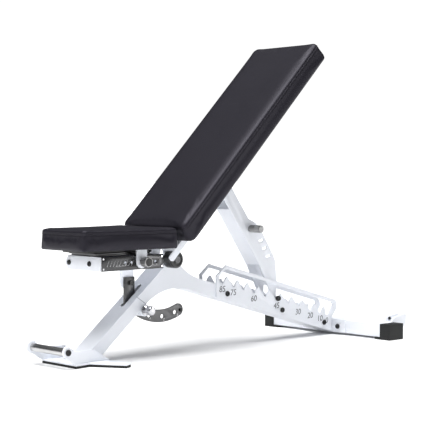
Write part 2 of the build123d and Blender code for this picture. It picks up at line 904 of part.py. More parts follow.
pin_half = frame_half - 1.5
pin_head_radius = 12.0
with BuildPart() as strut_pin:
    with BuildSketch(side_plane(strut_outer + gap)):
        with Locations(strut_point(0, 0)):
            Circle(strut_pin_radius)
    extrude(amount=2 * (strut_outer + gap))
    for side_name, side in SIDES:
        with BuildSketch(slab(side, strut_outer + gap, strut_outer + gap + 5.0)):
            with Locations(strut_point(0, 0)):
                Circle(pin_head_radius)
        extrude(amount=5.0)
finish(strut_pin, "strut_pin")

strut_head = 24.0
toe_radius = 10.5
web_start = 98.0
web_end = strut_length - 146.0
web_thickness = 4.0


def strut_front(along):
    """Distance of the strut's front edge from the line of its pins."""
    return -15.0 + 15.0 * (along - web_start) / (web_end - web_start)


for side_name, side in SIDES:
    with BuildPart() as strut_plate:
        with BuildSketch(slab(side, strut_inner, strut_outer)):
            with BuildLine():
                ThreePointArc(
                    strut_point(0, -strut_head),
                    strut_point(-strut_head, 0),
                    strut_point(0, strut_head + 6.0),
                )
                Polyline(
                    strut_point(0, strut_head + 6.0),
                    strut_point(48.0, 33.0),
                    strut_point(170.0, 43.0),
                )
                Spline(
                    strut_point(170.0, 43.0),
                    strut_point(188.0, 52.0),
                    strut_point(208.0, 64.0),
                    strut_point(258.0, 74.5),
                    tangents=[(strut_along[0], strut_along[1]), (strut_along[0], strut_along[1])],
                )
                Polyline(
                    strut_point(258.0, 74.5),
                    strut_point(355.0, 77.0),
                    strut_point(378.0, 75.0),
                    strut_point(392.0, 69.0),
                    strut_point(446.0, 41.0),
                    strut_point(strut_length - 4.0, toe_radius),
                )
                ThreePointArc(
                    strut_point(strut_length - 4.0, toe_radius),
                    strut_point(strut_length + toe_radius, 0),
                    strut_point(strut_length - 4.0, -toe_radius),
                )
                Polyline(
                    strut_point(strut_length - 4.0, -toe_radius),
                    strut_point(446.0, -6.0),
                    strut_point(web_end, strut_front(web_end)),
                    strut_point(web_start, strut_front(web_start)),
                    strut_point(0, -strut_head),
                )
            make_face()
            with Locations(strut_point(0, 0)):
                Circle(strut_pin_radius + running, mode=Mode.SUBTRACT)
            with Locations(strut_point(strut_length, 0)):
                Circle(pin_radius, mode=Mode.SUBTRACT)
            for along in (268.0, 302.0, 336.0):
                polygon(
                    [
                        strut_point(along, 44.0),
                        strut_point(along + 9.0, 41.0),
                        strut_point(along + 17.0, 64.0),
                        strut_point(along + 8.0, 67.0),
                    ],
                    mode=Mode.SUBTRACT,
                )
        extrude(amount=plate)
    finish(strut_plate, f"strut_plate_{side_name}")

with BuildPart() as strut_web:
    with BuildSketch(side_plane(strut_inner)):
        polygon(
            [
                strut_point(web_start, strut_front(web_start)),
                strut_point(web_end, strut_front(web_end)),
                strut_point(web_end, strut_front(web_end) + web_thickness),
                strut_point(web_start, strut_front(web_start) + web_thickness),
            ]
        )
    extrude(amount=2 * strut_inner)
finish(strut_web, "strut_web")

with BuildPart() as ladder_pin:
    with BuildSketch(side_plane(pin_half)):
        with Locations(strut_point(strut_length, 0)):
            Circle(pin_radius)
    extrude(amount=2 * pin_half)
finish(ladder_pin, "ladder_pin")

grip_length = 58.0
with BuildPart() as strut_grip:
    with BuildSketch(side_plane(-strut_outer)):
        with Locations(strut_point(209.0, 30.0)):
            Circle(13.5)
    extrude(amount=grip_length)
finish(strut_grip, "strut_grip")

# ---------------------------------------------------------------- seat carriage

cover_thickness = 2.0
rail_outer = carriage_half - cover_thickness
rail_inner = rail_outer - plate
arm_end = 60.0
arm_low = carriage_bottom + 1.0
deck_low = carriage_top - plate
carriage_mid_z = (carriage_top + carriage_bottom) / 2
carriage_height = carriage_top - carriage_bottom
index_stations = [-225.0 + 25.0 * step for step in range(6)]
index_hole = 4.5

with BuildPart() as carriage_front_plate:
    with BuildSketch(Plane.YZ.offset(pivot_x - carriage_front)):
        with Locations((0, pivot_height + carriage_mid_z)):
            Rectangle(2 * (carriage_half - carriage_height / 2), carriage_height)
        with Locations((carriage_half - carriage_height / 2, pivot_height + carriage_mid_z)):
            Circle(carriage_height / 2)
        with Locations((-carriage_half + carriage_height / 4, pivot_height + carriage_mid_z)):
            Rectangle(carriage_height / 2, carriage_height)
    extrude(amount=plate)
finish(carriage_front_plate, "carriage_front_plate")

rail_front = -carriage_front + plate


def rail_outline():
    """Side view of the carriage's side plates."""
    polygon(
        [
            spot(rail_front, carriage_bottom),
            spot(-carriage_rear, carriage_bottom),
            spot(-carriage_rear, carriage_top),
            spot(rail_front, carriage_top),
        ]
    )


for side_name, side in SIDES:
    with BuildPart() as carriage_rail:
        with BuildSketch(slab(side, rail_inner, rail_outer)):
            rail_outline()
            with Locations(*[spot(x, 0) for x in index_stations]):
                Circle(index_hole, mode=Mode.SUBTRACT)
        extrude(amount=plate)
    finish(carriage_rail, f"carriage_rail_{side_name}")

with BuildPart() as cover_plate:
    with BuildSketch(side_plane(-rail_outer)):
        rail_outline()
        with Locations(*[spot(x, 0) for x in index_stations]):
            Circle(index_hole, mode=Mode.SUBTRACT)
    extrude(amount=cover_thickness)
finish(cover_plate, "cover_plate")

rivet_inset = 7.0
with BuildPart() as cover_rivets:
    with BuildSketch(side_plane(-carriage_half)):
        for x in (rail_front + rivet_inset, -carriage_rear - rivet_inset):
            for z in (carriage_bottom + rivet_inset, carriage_top - rivet_inset):
                with Locations(spot(x, z)):
                    Circle(3.2)
    extrude(amount=1.6)
finish(cover_rivets, "cover_rivets")

with BuildPart() as carriage_deck:
    with BuildSketch(Plane.XY.offset(pivot_height + deck_low)):
        with Locations((pivot_x + (rail_front - carriage_rear) / 2, 0)):
            Rectangle(-carriage_rear - rail_front, 2 * rail_inner)
    extrude(amount=plate)
finish(carriage_deck, "carriage_deck")

with BuildPart() as tilt_arm:
    with BuildSketch(side_plane(arm_half)):
        polygon(
            [
                spot(rail_front, arm_low),
                spot(-arm_end, arm_low),
                spot(-arm_end, deck_low),
                spot(rail_front, deck_low),
            ]
        )
    extrude(amount=2 * arm_half)
    with BuildSketch(side_plane(arm_half - tube_wall)):
        polygon(
            [
                spot(rail_front + tube_wall, arm_low + tube_wall),
                spot(-arm_end - tube_wall, arm_low + tube_wall),
                spot(-arm_end - tube_wall, deck_low - tube_wall),
                spot(rail_front + tube_wall, deck_low - tube_wall),
            ]
        )
    extrude(amount=2 * (arm_half - tube_wall), mode=Mode.SUBTRACT)
    for side_name, side in SIDES:
        with BuildSketch(slab(side, arm_half - plate, arm_half)):
            polygon(
                [
                    spot(-arm_end, arm_low),
                    spot(-16.0, -16.0),
                    spot(0, -16.0),
                    spot(0, 16.0),
                    spot(-arm_end, deck_low),
                ]
            )
            with Locations(spot(0, 0)):
                Circle(16.0)
                Circle(axle_radius + running, mode=Mode.SUBTRACT)
        extrude(amount=plate)
finish(tilt_arm, "tilt_arm")

with BuildPart() as carriage_bolts:
    for y in (70.0, -37.0):
        with BuildSketch(Plane.YZ.offset(pivot_x - carriage_front - 5.0)):
            with Locations((y, pivot_height + carriage_mid_z)):
                Circle(9.0)
        extrude(amount=5.0)
finish(carriage_bolts, "carriage_bolts")

# The blade is an arc about the axle, on a tang that hangs from the carriage
blade_outer = 215.0
blade_inner = 172.0
tang_front = -160.0
tang_rear = -116.0
tang_top = -55.0
blade_end = 28.0
blade_step = 17.0
blade_holes = [-pin_hole_angle + blade_step * step for step in range(4)]
blade_hole_radius = 7.6
hanger_thickness = 8.0
tang_bolt = (-134.0, -74.0)
stop_spot = (199.0, 25.5)


def arc_spot(radius, angle):
    """Point at a radius from the axle, angle from straight down towards the rear."""
    return spot(radius * sin(radians(angle)), -radius * cos(radians(angle)))


with BuildPart() as blade_hanger:
    with BuildSketch(side_plane(blade_half + hanger_thickness)):
        polygon(
            [
                spot(tang_front - 10.0, arm_low),
                spot(tang_rear, arm_low),
                spot(tang_rear, -90.0),
                spot(tang_front - 2.0, -90.0),
                spot(tang_front - 10.0, -70.0),
            ]
        )
    extrude(amount=hanger_thickness)
finish(blade_hanger, "blade_hanger")

with BuildPart() as tilt_blade:
    with BuildSketch(side_plane(blade_half)):
        outer_start = -degrees(atan2(-tang_front, sqrt(blade_outer**2 - tang_front**2)))
        inner_start = -degrees(atan2(-tang_rear, sqrt(blade_inner**2 - tang_rear**2)))
        with BuildLine():
            ThreePointArc(
                arc_spot(blade_outer, outer_start),
                arc_spot(blade_outer, 0),
                arc_spot(blade_outer, blade_end - 4.0),
            )
            ThreePointArc(
                arc_spot(blade_outer, blade_end - 4.0),
                arc_spot((blade_inner + blade_outer) / 2, blade_end + 1.5),
                arc_spot(blade_inner, blade_end - 4.0),
            )
            ThreePointArc(
                arc_spot(blade_inner, blade_end - 4.0),
                arc_spot(blade_inner, 0),
                arc_spot(blade_inner, inner_start),
            )
            Polyline(
                arc_spot(blade_inner, inner_start),
                spot(tang_rear, tang_top),
                spot(tang_front, tang_top),
                arc_spot(blade_outer, outer_start),
            )
        make_face()
        with Locations(*[arc_spot(blade_mid, angle) for angle in blade_holes]):
            Circle(blade_hole_radius, mode=Mode.SUBTRACT)
    extrude(amount=2 * blade_half)
finish(tilt_blade, "tilt_blade")

with BuildPart() as blade_bolts:
    with BuildSketch(side_plane(-blade_half)):
        with Locations(spot(*tang_bolt)):
            Circle(8.0)
    extrude(amount=7.0)
    for side_name, side in SIDES:
        with BuildSketch(slab(side, blade_half, blade_half + 6.0)):
            with Locations(arc_spot(*stop_spot)):
                Circle(6.0)
        extrude(amount=6.0)
finish(blade_bolts, "blade_bolts")

# ---------------------------------------------------------------- seat slide and seat

slide_gap = 1.0
slide_plate = 4.0
slide_half = 70.0
lower_z = carriage_top + slide_gap
upper_z = lower_z + slide_plate + slide_gap
frame_z = upper_z + slide_plate + slide_gap
seat_low = pad_face - seat_thickness
seat_back_end = -seat_gap
seat_front_end = -seat_gap - seat_length

for name, front, rear, z in (
    ("slide_plate_lower", -320.0, -120.0, lower_z),
    ("slide_plate_upper", -330.0, -125.0, upper_z),
):
    with BuildPart() as slide:
        with BuildSketch(Plane.XY.offset(pivot_height + z)):
            with Locations((pivot_x + (front + rear) / 2, 0)):
                Rectangle(rear - front, 2 * slide_half)
                with Locations((-55.0, 0), (55.0, 0)):
                    SlotOverall(60.0, 14.0, mode=Mode.SUBTRACT)
        extrude(amount=slide_plate)
    finish(slide, name)

with BuildPart() as seat_frame:
    with BuildSketch(Plane.XY.offset(pivot_height + frame_z)):
        for side_name, side in SIDES:
            with Locations((pivot_x - 237.5, side * 50.0)):
                Rectangle(245.0, 30.0)
        for x in (-345.0, -130.0):
            with Locations((pivot_x + x, 0)):
                Rectangle(30.0, 130.0)
    extrude(amount=seat_low - frame_z)
finish(seat_frame, "seat_frame")


def seat_outline(inset):
    """Plan of the seat, wider at the rear, with rounded front corners."""
    half_step = (seat_rear_half - seat_front_half) / seat_length
    front = seat_front_end + inset
    rear = seat_back_end - inset
    corner_r = seat_corner - inset
    with BuildLine() as edge:
        Polyline(
            (pivot_x + front, seat_front_half - inset + half_step * inset),
            (pivot_x + rear, seat_rear_half - inset - half_step * inset),
            (pivot_x + rear, -seat_rear_half + inset + half_step * inset),
            (pivot_x + front, -seat_front_half + inset - half_step * inset),
            close=True,
        )
        fillet(edge.vertices().group_by(Axis.X)[0], radius=corner_r)
        fillet(edge.vertices().group_by(Axis.X)[-1], radius=7.0)
    make_face(edge.edges())


with BuildPart() as seat_board:
    with BuildSketch(Plane.XY.offset(pivot_height + seat_low)):
        seat_outline(inset=board_inset)
    extrude(amount=seat_board_thickness)
finish(seat_board, "seat_board")

with BuildPart() as seat_pad:
    with BuildSketch(Plane.XY.offset(pivot_height + seat_low + seat_board_thickness)):
        seat_outline(inset=0.0)
    extrude(amount=seat_thickness - seat_board_thickness)
    fillet(seat_pad.faces().sort_by(Axis.Z)[-1].edges(), radius=6.0)
finish(seat_pad, "seat_pad")

tab_x = -163.0
tab_half = 21.0
tab_face = carriage_half + 2.0
knob_z = 1.0
index_pin_radius = 6.0
with BuildPart() as index_tab:
    with BuildSketch(side_plane(-tab_face)):
        polygon(
            [
                spot(tab_x - tab_half, knob_z),
                spot(tab_x + tab_half, knob_z),
                spot(tab_x + tab_half, seat_low),
                spot(tab_x - tab_half, seat_low),
            ]
        )
        with Locations(spot(tab_x, knob_z)):
            Circle(tab_half)
            Circle(index_pin_radius + running, mode=Mode.SUBTRACT)
    extrude(amount=plate)
finish(index_tab, "index_tab")

index_knob_face = 134.0
knob_radius = 17.0
with BuildPart() as index_pin:
    with BuildSketch(side_plane(-carriage_half - 0.5)):
        with Locations(spot(tab_x, knob_z)):
            Circle(index_pin_radius)
    extrude(amount=index_knob_face - 6.0 - carriage_half - 0.5)
finish(index_pin, "index_pin")

with BuildPart() as index_knob:
    with BuildSketch(side_plane(-tab_face - plate - 1.0)):
        with Locations(spot(tab_x, knob_z)):
            Circle(knob_radius)
    extrude(amount=index_knob_face - tab_face - plate - 1.0)
    with BuildSketch(side_plane(-tab_face - plate - 1.0)):
        with Locations(spot(tab_x, knob_z)):
            Circle(index_pin_radius)
    extrude(amount=index_knob_face - 6.0 - tab_face - plate - 1.0, mode=Mode.SUBTRACT)
finish(index_knob, "index_knob")
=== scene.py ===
import json
from math import cos, hypot, pi, radians, sin, sqrt, tan

import bpy
from bpy.props import FloatProperty, FloatVectorProperty, IntProperty, PointerProperty
from bpy.types import Operator, Panel, PropertyGroup
from mathutils import Matrix, Vector

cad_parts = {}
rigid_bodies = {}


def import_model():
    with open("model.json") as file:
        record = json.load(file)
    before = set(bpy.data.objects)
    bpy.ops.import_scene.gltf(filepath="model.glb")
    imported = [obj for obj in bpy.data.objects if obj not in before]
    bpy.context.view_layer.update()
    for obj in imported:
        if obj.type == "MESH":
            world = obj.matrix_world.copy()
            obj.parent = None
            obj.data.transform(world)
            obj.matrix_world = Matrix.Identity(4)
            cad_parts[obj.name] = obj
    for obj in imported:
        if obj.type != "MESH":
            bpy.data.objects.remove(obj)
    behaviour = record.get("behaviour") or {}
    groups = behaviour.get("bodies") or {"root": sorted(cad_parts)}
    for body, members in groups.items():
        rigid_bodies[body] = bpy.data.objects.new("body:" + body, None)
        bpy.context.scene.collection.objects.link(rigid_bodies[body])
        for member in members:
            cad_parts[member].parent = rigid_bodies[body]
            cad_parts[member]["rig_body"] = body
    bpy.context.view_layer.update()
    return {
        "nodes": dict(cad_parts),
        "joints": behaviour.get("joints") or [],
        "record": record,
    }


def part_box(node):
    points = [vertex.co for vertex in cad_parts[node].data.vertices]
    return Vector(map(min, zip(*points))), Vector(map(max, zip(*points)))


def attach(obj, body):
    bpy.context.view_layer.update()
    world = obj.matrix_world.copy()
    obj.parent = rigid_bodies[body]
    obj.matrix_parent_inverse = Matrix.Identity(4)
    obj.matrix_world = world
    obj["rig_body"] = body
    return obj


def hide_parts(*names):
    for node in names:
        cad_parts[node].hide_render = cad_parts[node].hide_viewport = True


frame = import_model()

bl_info = {
    "name": "Adjustable Weight Bench",
    "version": (1, 0, 0),
    "blender": (4, 5, 0),
    "location": "3D View > Sidebar > Bench",
    "description": "Dresses the bench's frame with upholstery, hardware, finishes and a studio",
    "category": "Object",
}

# ------------------------------------------------------------ places taken from the frame

JOINTS = {joint["name"]: joint for joint in frame["joints"]}
AXLE = Vector(JOINTS["back_recline"]["pos_m"])
STRUT_TOP = Vector(JOINTS["strut_swing_recline"]["pos_m"])
LEAN = radians(45.0)
SPINE_FALL = radians(15.5)
NUMBERED = (85, 75, 60, 45, 30, 20, 10, 0)
NEAR, FAR = -1, 1

# Shared by the modelling helpers
HARD_EDGE = 32.0
MERGE = 0.00001
CLOTH_FRAMES = 20
CLOTH_STIFFNESS = 40.0
ROOT_HEIGHT = 0.004
FACE_SLOPE = 0.75


def middle(node):
    """Middle of a frame node's box."""
    low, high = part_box(node)
    return (low + high) / 2


LADDER_PIN = middle("ladder_pin")
BACK_PLACE = Matrix.Translation(AXLE) @ Matrix.Rotation(-LEAN, 4, "Y")


def seated_x(angle):
    """X of the ladder pin when the back stands at an angle to the floor."""
    reach = hypot(STRUT_TOP.x - AXLE.x, STRUT_TOP.z - AXLE.z)
    length = hypot(LADDER_PIN.x - STRUT_TOP.x, LADDER_PIN.z - STRUT_TOP.z)
    top_x = AXLE.x + reach * cos(radians(angle))
    top_z = AXLE.z + reach * sin(radians(angle))
    fall = tan(SPINE_FALL)
    level = LADDER_PIN.z + fall * LADDER_PIN.x
    square = 1 + fall**2
    half = -top_x - fall * (level - top_z)
    rest = top_x**2 + (level - top_z) ** 2 - length**2
    return (-half + sqrt(half**2 - square * rest)) / square


def seated_point(angle, below):
    """Point square below the pin's place on the ladder for an angle of the back."""
    x = seated_x(angle)
    z = LADDER_PIN.z - tan(SPINE_FALL) * (x - LADDER_PIN.x)
    return x - below * sin(SPINE_FALL), z - below * cos(SPINE_FALL)


# ------------------------------------------------------------ settings


class BENCH_PG_finishes(PropertyGroup):
    """Colours of the bench's finishes."""

    powder: FloatVectorProperty(
        name="Powder coat", description="Frame paint", subtype="COLOR",
        default=(0.86, 0.885, 0.94), min=0, max=1,
    )
    vinyl: FloatVectorProperty(
        name="Vinyl", description="Pad cover", subtype="COLOR",
        default=(0.0090, 0.0083, 0.0120), min=0, max=1,
    )
    hardware: FloatVectorProperty(
        name="Hardware", description="Black oxide bolts", subtype="COLOR",
        default=(0.012, 0.012, 0.012), min=0, max=1,
    )
    cover: FloatVectorProperty(
        name="Cover plate", description="Brushed steel cover on the seat carriage",
        subtype="COLOR", default=(0.075, 0.075, 0.077), min=0, max=1,
    )


class BENCH_PG_pads(PropertyGroup):
    """Upholstery of both pads."""

    voxel: FloatProperty(
        name="Cover mesh", description="Size of the cover's mesh before it is filled",
        unit="LENGTH", default=0.005,
    )
    crown: FloatProperty(
        name="Crown", description="Furthest that the filling pushes the cover out",
        unit="LENGTH", default=0.003,
    )
    pressure: FloatProperty(
        name="Pressure", description="Pressure of the filling on the cover", default=4.0
    )
    seam_drop: FloatProperty(
        name="Seam drop", description="Seam below the pad's face, down its side",
        unit="LENGTH", default=0.0135,
    )
    board_shown: FloatProperty(
        name="Board shown", description="Board left showing under the cover", unit="LENGTH",
        default=0.001,
    )
    seam_radius: FloatProperty(
        name="Seam", description="Radius of the rolled seam", unit="LENGTH", default=0.0022
    )


class BENCH_PG_hardware(PropertyGroup):
    """Edges, bolts and grips."""

    plate_edge: FloatProperty(
        name="Plate edge", description="Rounding of cut steel plates", unit="LENGTH",
        default=0.0009,
    )
    tube_edge: FloatProperty(
        name="Tube edge", description="Rounding of box tubes", unit="LENGTH", default=0.003
    )
    socket: FloatProperty(
        name="Socket", description="Hex socket across its corners, over the head's width",
        default=0.5,
    )
    flute_depth: FloatProperty(
        name="Flutes", description="Depth of the flutes on grips", unit="LENGTH", default=0.0018
    )
    spokes: IntProperty(name="Sides", description="Sides of a turned part", default=48)


class BENCH_PG_studio(PropertyGroup):
    """Camera and lights."""

    distance: FloatProperty(
        name="Distance", description="Camera to the point it looks at", unit="LENGTH",
        default=4.513,
    )
    around: FloatProperty(
        name="Around", description="Camera's turn from the front, towards the seat",
        subtype="ANGLE", default=radians(43.088),
    )
    above: FloatProperty(
        name="Above", description="Camera's height angle", subtype="ANGLE",
        default=radians(1.783),
    )
    target: FloatVectorProperty(
        name="Target", description="Point the camera looks at", subtype="TRANSLATION",
        default=(0.0099, 0.0105, 0.4615),
    )
    lens: FloatProperty(name="Lens", description="Focal length in mm", default=107.68)
    key: FloatProperty(name="Overhead light", description="Strength of the top light", default=4.9)
    side: FloatProperty(name="Side light", description="Strength of the side light", default=0.12)
    front: FloatProperty(
        name="Front light", description="Strength of the light on the leg's face", default=0.55
    )
    strip: FloatProperty(
        name="Strip light", description="Strength of the strip that the cover reflects", default=6.0
    )
    haze: FloatProperty(name="Haze", description="Light from all round", default=0.1)


SETTINGS = (
    ("bench_finishes", BENCH_PG_finishes),
    ("bench_pads", BENCH_PG_pads),
    ("bench_hardware", BENCH_PG_hardware),
    ("bench_studio", BENCH_PG_studio),
)


# ------------------------------------------------------------ shader building


class Signal:
    """A value in a shader; arithmetic on it adds Math nodes."""

    def __init__(self, shader, socket):
        self.shader = shader
        self.socket = socket

    def join(self, operation, first, second):
        """Add one Math node for two values."""
        node = self.shader.node("ShaderNodeMath", {"operation": operation}, {0: first, 1: second})
        return Signal(self.shader, node.outputs[0])

    def __add__(self, other):
        return self.join("ADD", self, other)

    def __radd__(self, other):
        return self.join("ADD", other, self)

    def __sub__(self, other):
        return self.join("SUBTRACT", self, other)

    def __rsub__(self, other):
        return self.join("SUBTRACT", other, self)

    def __mul__(self, other):
        return self.join("MULTIPLY", self, other)

    def __rmul__(self, other):
        return self.join("MULTIPLY", other, self)


class Shader:
    """A material with one Principled surface."""

    def __init__(self, name, colour, roughness, metallic=0.0, **sockets):
        self.material = bpy.data.materials.new(name)
        self.material.use_nodes = True
        self.tree = self.material.node_tree
        self.tree.nodes.clear()
        self.surface = self.node("ShaderNodeBsdfPrincipled")
        output = self.node("ShaderNodeOutputMaterial")
        self.tree.links.new(self.surface.outputs["BSDF"], output.inputs["Surface"])
        self.set("Base Color", (*colour, 1.0))
        self.set("Roughness", roughness)
        self.set("Metallic", metallic)
        for socket, value in sockets.items():
            self.set(socket.replace("_", " ").title().replace("Ior", "IOR"), value)

    def node(self, kind, settings=None, values=None):
        """Add a node, set its settings first and then its sockets."""
        node = self.tree.nodes.new(kind)
        for name, value in (settings or {}).items():
            setattr(node, name, value)
        for name, value in (values or {}).items():
            self.feed(node.inputs[name], value)
        return node

    def feed(self, socket, value):
        """Set a socket, or link it to a signal."""
        if isinstance(value, Signal):
            self.tree.links.new(value.socket, socket)
        else:
            socket.default_value = value

    def set(self, name, value):
        """Feed one of the surface's sockets."""
        self.feed(self.surface.inputs[name], value)

    def place(self, stretch=(1.0, 1.0, 1.0), turn=0.0):
        """Object coordinates, stretched and turned about Y."""
        coordinates = self.node("ShaderNodeTexCoord")
        placed = self.node(
            "ShaderNodeMapping",
            values={
                "Vector": Signal(self, coordinates.outputs["Object"]),
                "Rotation": (0.0, turn, 0.0),
                "Scale": stretch,
            },
        )
        return Signal(self, placed.outputs["Vector"])

    def noise(self, where, scale, detail=3.0):
        """Noise between 0 and 1."""
        node = self.node(
            "ShaderNodeTexNoise", values={"Vector": where, "Scale": scale, "Detail": detail}
        )
        return Signal(self, node.outputs["Fac"])

    def cells(self, where, scale):
        """Distance to the nearest cell point."""
        node = self.node("ShaderNodeTexVoronoi", values={"Vector": where, "Scale": scale})
        return Signal(self, node.outputs["Distance"])

    def bump(self, height, strength, distance):
        """Let a height shape the surface's normal."""
        node = self.node(
            "ShaderNodeBump",
            values={"Height": height, "Strength": strength, "Distance": distance},
        )
        self.set("Normal", Signal(self, node.outputs["Normal"]))


def powder_coat():
    """White powder coat with a faint orange peel."""
    shader = Shader("powder coat", bpy.context.scene.bench_finishes.powder, 0.42)
    peel = shader.noise(shader.place(), 620.0, 2.0)
    shader.set("Roughness", 0.38 + 0.1 * peel)
    shader.bump(peel, 0.12, 0.0004)
    return shader.material


def black_oxide():
    """Black bolts."""
    colour = bpy.context.scene.bench_finishes.hardware
    return Shader("black oxide", colour, 0.38, specular_ior_level=0.4).material


def rubber():
    """Moulded rubber, with a fine grain."""
    shader = Shader("rubber", (0.013, 0.014, 0.014), 0.62, specular_ior_level=0.35)
    grain = shader.noise(shader.place(), 900.0)
    shader.bump(grain, 0.25, 0.0004)
    return shader.material


def roller_plastic():
    """Black moulded plastic."""
    shader = Shader("roller plastic", (0.016, 0.016, 0.017), 0.34)
    shader.bump(shader.noise(shader.place(), 700.0), 0.08, 0.0003)
    return shader.material


def brushed(name, colour, roughness, stretch, depth=0.3):
    """Steel brushed along the direction with the least stretch."""
    shader = Shader(name, colour, roughness, 1.0)
    lines = shader.noise(shader.place(stretch), 1.0, 4.0)
    shader.set("Roughness", roughness - 0.08 + 0.16 * lines)
    shader.bump(lines, depth, 0.0003)
    return shader.material


def cover_steel():
    """Dark brushed steel of the cover plate."""
    return brushed("cover steel", bpy.context.scene.bench_finishes.cover, 0.24, (6, 40, 1400))


def blade_steel():
    """Satin dark steel of the blade."""
    return brushed("blade steel", (0.12, 0.12, 0.122), 0.36, (30, 30, 900), 0.15)


def knurled_steel():
    """Grey steel of the grips."""
    shader = Shader("knurled steel", (0.33, 0.33, 0.33), 0.36, 1.0)
    shader.bump(shader.noise(shader.place((1, 1, 1)), 900.0), 0.1, 0.0003)
    return shader.material


def handle_steel():
    """Turned steel of the carry handle."""
    return brushed("handle steel", (0.5, 0.5, 0.5), 0.3, (60, 700, 60), 0.2)


def bright_steel():
    """Polished plating."""
    return Shader("bright steel", (0.5, 0.5, 0.52), 0.16, 1.0).material


def bronze():
    """Turned bush."""
    return brushed("bronze", (0.42, 0.28, 0.11), 0.35, (60, 500, 60))


def hub_metal():
    """Satin hub cap."""
    return Shader("hub metal", (0.12, 0.12, 0.125), 0.35, 1.0).material


def vinyl():
    """Charcoal vinyl with a fine leather grain."""
    shader = Shader(
        "vinyl", bpy.context.scene.bench_finishes.vinyl, 0.5, specular_ior_level=0.32
    )
    where = shader.place()
    grain = shader.cells(where, 950.0)
    soft = shader.noise(where, 9.0, 2.0)
    shader.set("Roughness", 0.44 + 0.1 * soft)
    shader.set("Specular Tint", (0.88, 0.84, 1.0, 1.0))
    shader.bump(grain + 0.8 * shader.noise(where, 2200.0), 0.22, 0.0005)
    return shader.material


def pad_ply():
    """Black stained plywood under the pads."""
    shader = Shader("pad ply", (0.02, 0.019, 0.018), 0.6)
    shader.bump(shader.noise(shader.place((4, 90, 4), LEAN), 1.0), 0.2, 0.0004)
    return shader.material


def numeral_ink():
    """Grey fill of the stamped numerals."""
    return Shader("numeral ink", (0.11, 0.115, 0.13), 0.5).material


def pale_mark():
    """Bright marks cut in dark steel."""
    return Shader("pale mark", (0.55, 0.55, 0.56), 0.35, 1.0).material


def weld_shade():
    """Grey for the weld beads: painted shadow of the thin gap beside a weld."""
    return Shader("weld painted shadow", (0.42, 0.44, 0.5), 0.5).material


FINISHES = {
    "white_frame": powder_coat,
    "black_hardware": black_oxide,
    "black_rubber": rubber,
    "hub_plastic": roller_plastic,
    "hub_cap": hub_metal,
    "knurled_steel": knurled_steel,
    "cover_steel": cover_steel,
    "blade_steel": blade_steel,
    "bright_steel": bright_steel,
    "bronze_bush": bronze,
    "pad_vinyl": vinyl,
    "pad_board": pad_ply,
}
made = {}


def finish_of(builder):
    """The material that a finish function builds, made once."""
    if builder not in made:
        made[builder] = builder()
    return made[builder]


# ------------------------------------------------------------ modelling


def only(piece):
    """Select one object and make it active."""
    bpy.ops.object.select_all(action="DESELECT")
    piece.select_set(True)
    bpy.context.view_layer.objects.active = piece


def settle(piece):
    """Put a piece's place into its mesh."""
    only(piece)
    bpy.ops.object.transform_apply(location=True, rotation=True, scale=True)


def edit(piece, mode="VERT"):
    """Open a piece in edit mode with nothing selected."""
    only(piece)
    bpy.ops.object.mode_set(mode="EDIT")
    bpy.ops.mesh.select_mode(type=mode)
    bpy.ops.mesh.select_all(action="DESELECT")


def close():
    """Leave edit mode."""
    bpy.ops.object.mode_set(mode="OBJECT")


def pick(piece, wanted):
    """Select the vertices of an open piece that wanted(place, index) accepts."""
    bpy.ops.object.mode_set(mode="OBJECT")
    for vertex in piece.data.vertices:
        vertex.select = wanted(vertex.co, vertex.index)
    bpy.ops.object.mode_set(mode="EDIT")


def apply(piece, kind, **settings):
    """Add a modifier and apply it."""
    only(piece)
    modifier = piece.modifiers.new(kind.title(), kind)
    for name, value in settings.items():
        setattr(modifier, name, value)
    bpy.ops.object.modifier_apply(modifier=modifier.name)


def soften(piece, width, segments=2, angle=HARD_EDGE):
    """Round a piece's hard edges and smooth its shading."""
    apply(
        piece, "BEVEL", width=width, segments=segments, limit_method="ANGLE",
        angle_limit=radians(angle), use_clamp_overlap=True, miter_outer="MITER_ARC",
    )
    only(piece)
    bpy.ops.object.shade_smooth_by_angle(angle=radians(angle))


def outward(piece):
    """Merge doubles and turn every face outwards."""
    edit(piece)
    bpy.ops.mesh.select_all(action="SELECT")
    bpy.ops.mesh.remove_doubles(threshold=MERGE)
    bpy.ops.mesh.normals_make_consistent(inside=False)
    close()


def present(piece, body, slot, material=None, nodes=()):
    """Give a finished piece its material, its body and the nodes it stands for."""
    piece.data.materials.clear()
    piece.data.materials.append(material or finish_of(FINISHES[slot]))
    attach(piece, body)
    if nodes:
        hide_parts(*nodes)
    return piece


def body_holding(node):
    """Name of the body a node is on."""
    return frame["nodes"][node]["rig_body"]


def slot_holding(node):
    """Material slot of a node in the record."""
    for entry in frame["record"]["subparts"]:
        if entry["node"] == node:
            return entry["material_slot"]
    raise RuntimeError(f"no material slot for {node}")


def copied(node, name):
    """A merged copy of a frame node, with flat faces joined up."""
    piece = bpy.data.objects.new(name, frame["nodes"][node].data.copy())
    bpy.context.scene.collection.objects.link(piece)
    edit(piece)
    bpy.ops.mesh.select_all(action="SELECT")
    bpy.ops.mesh.remove_doubles(threshold=0.000005)
    bpy.ops.mesh.dissolve_limited(angle_limit=radians(0.15))
    close()
    return piece


def dressed(node, width, segments=2, material=None):
    """Stand a softened copy in for a frame node."""
    piece = copied(node, f"{node}_dressed")
    soften(piece, width, segments)
    return present(piece, body_holding(node), slot_holding(node), material, [node])


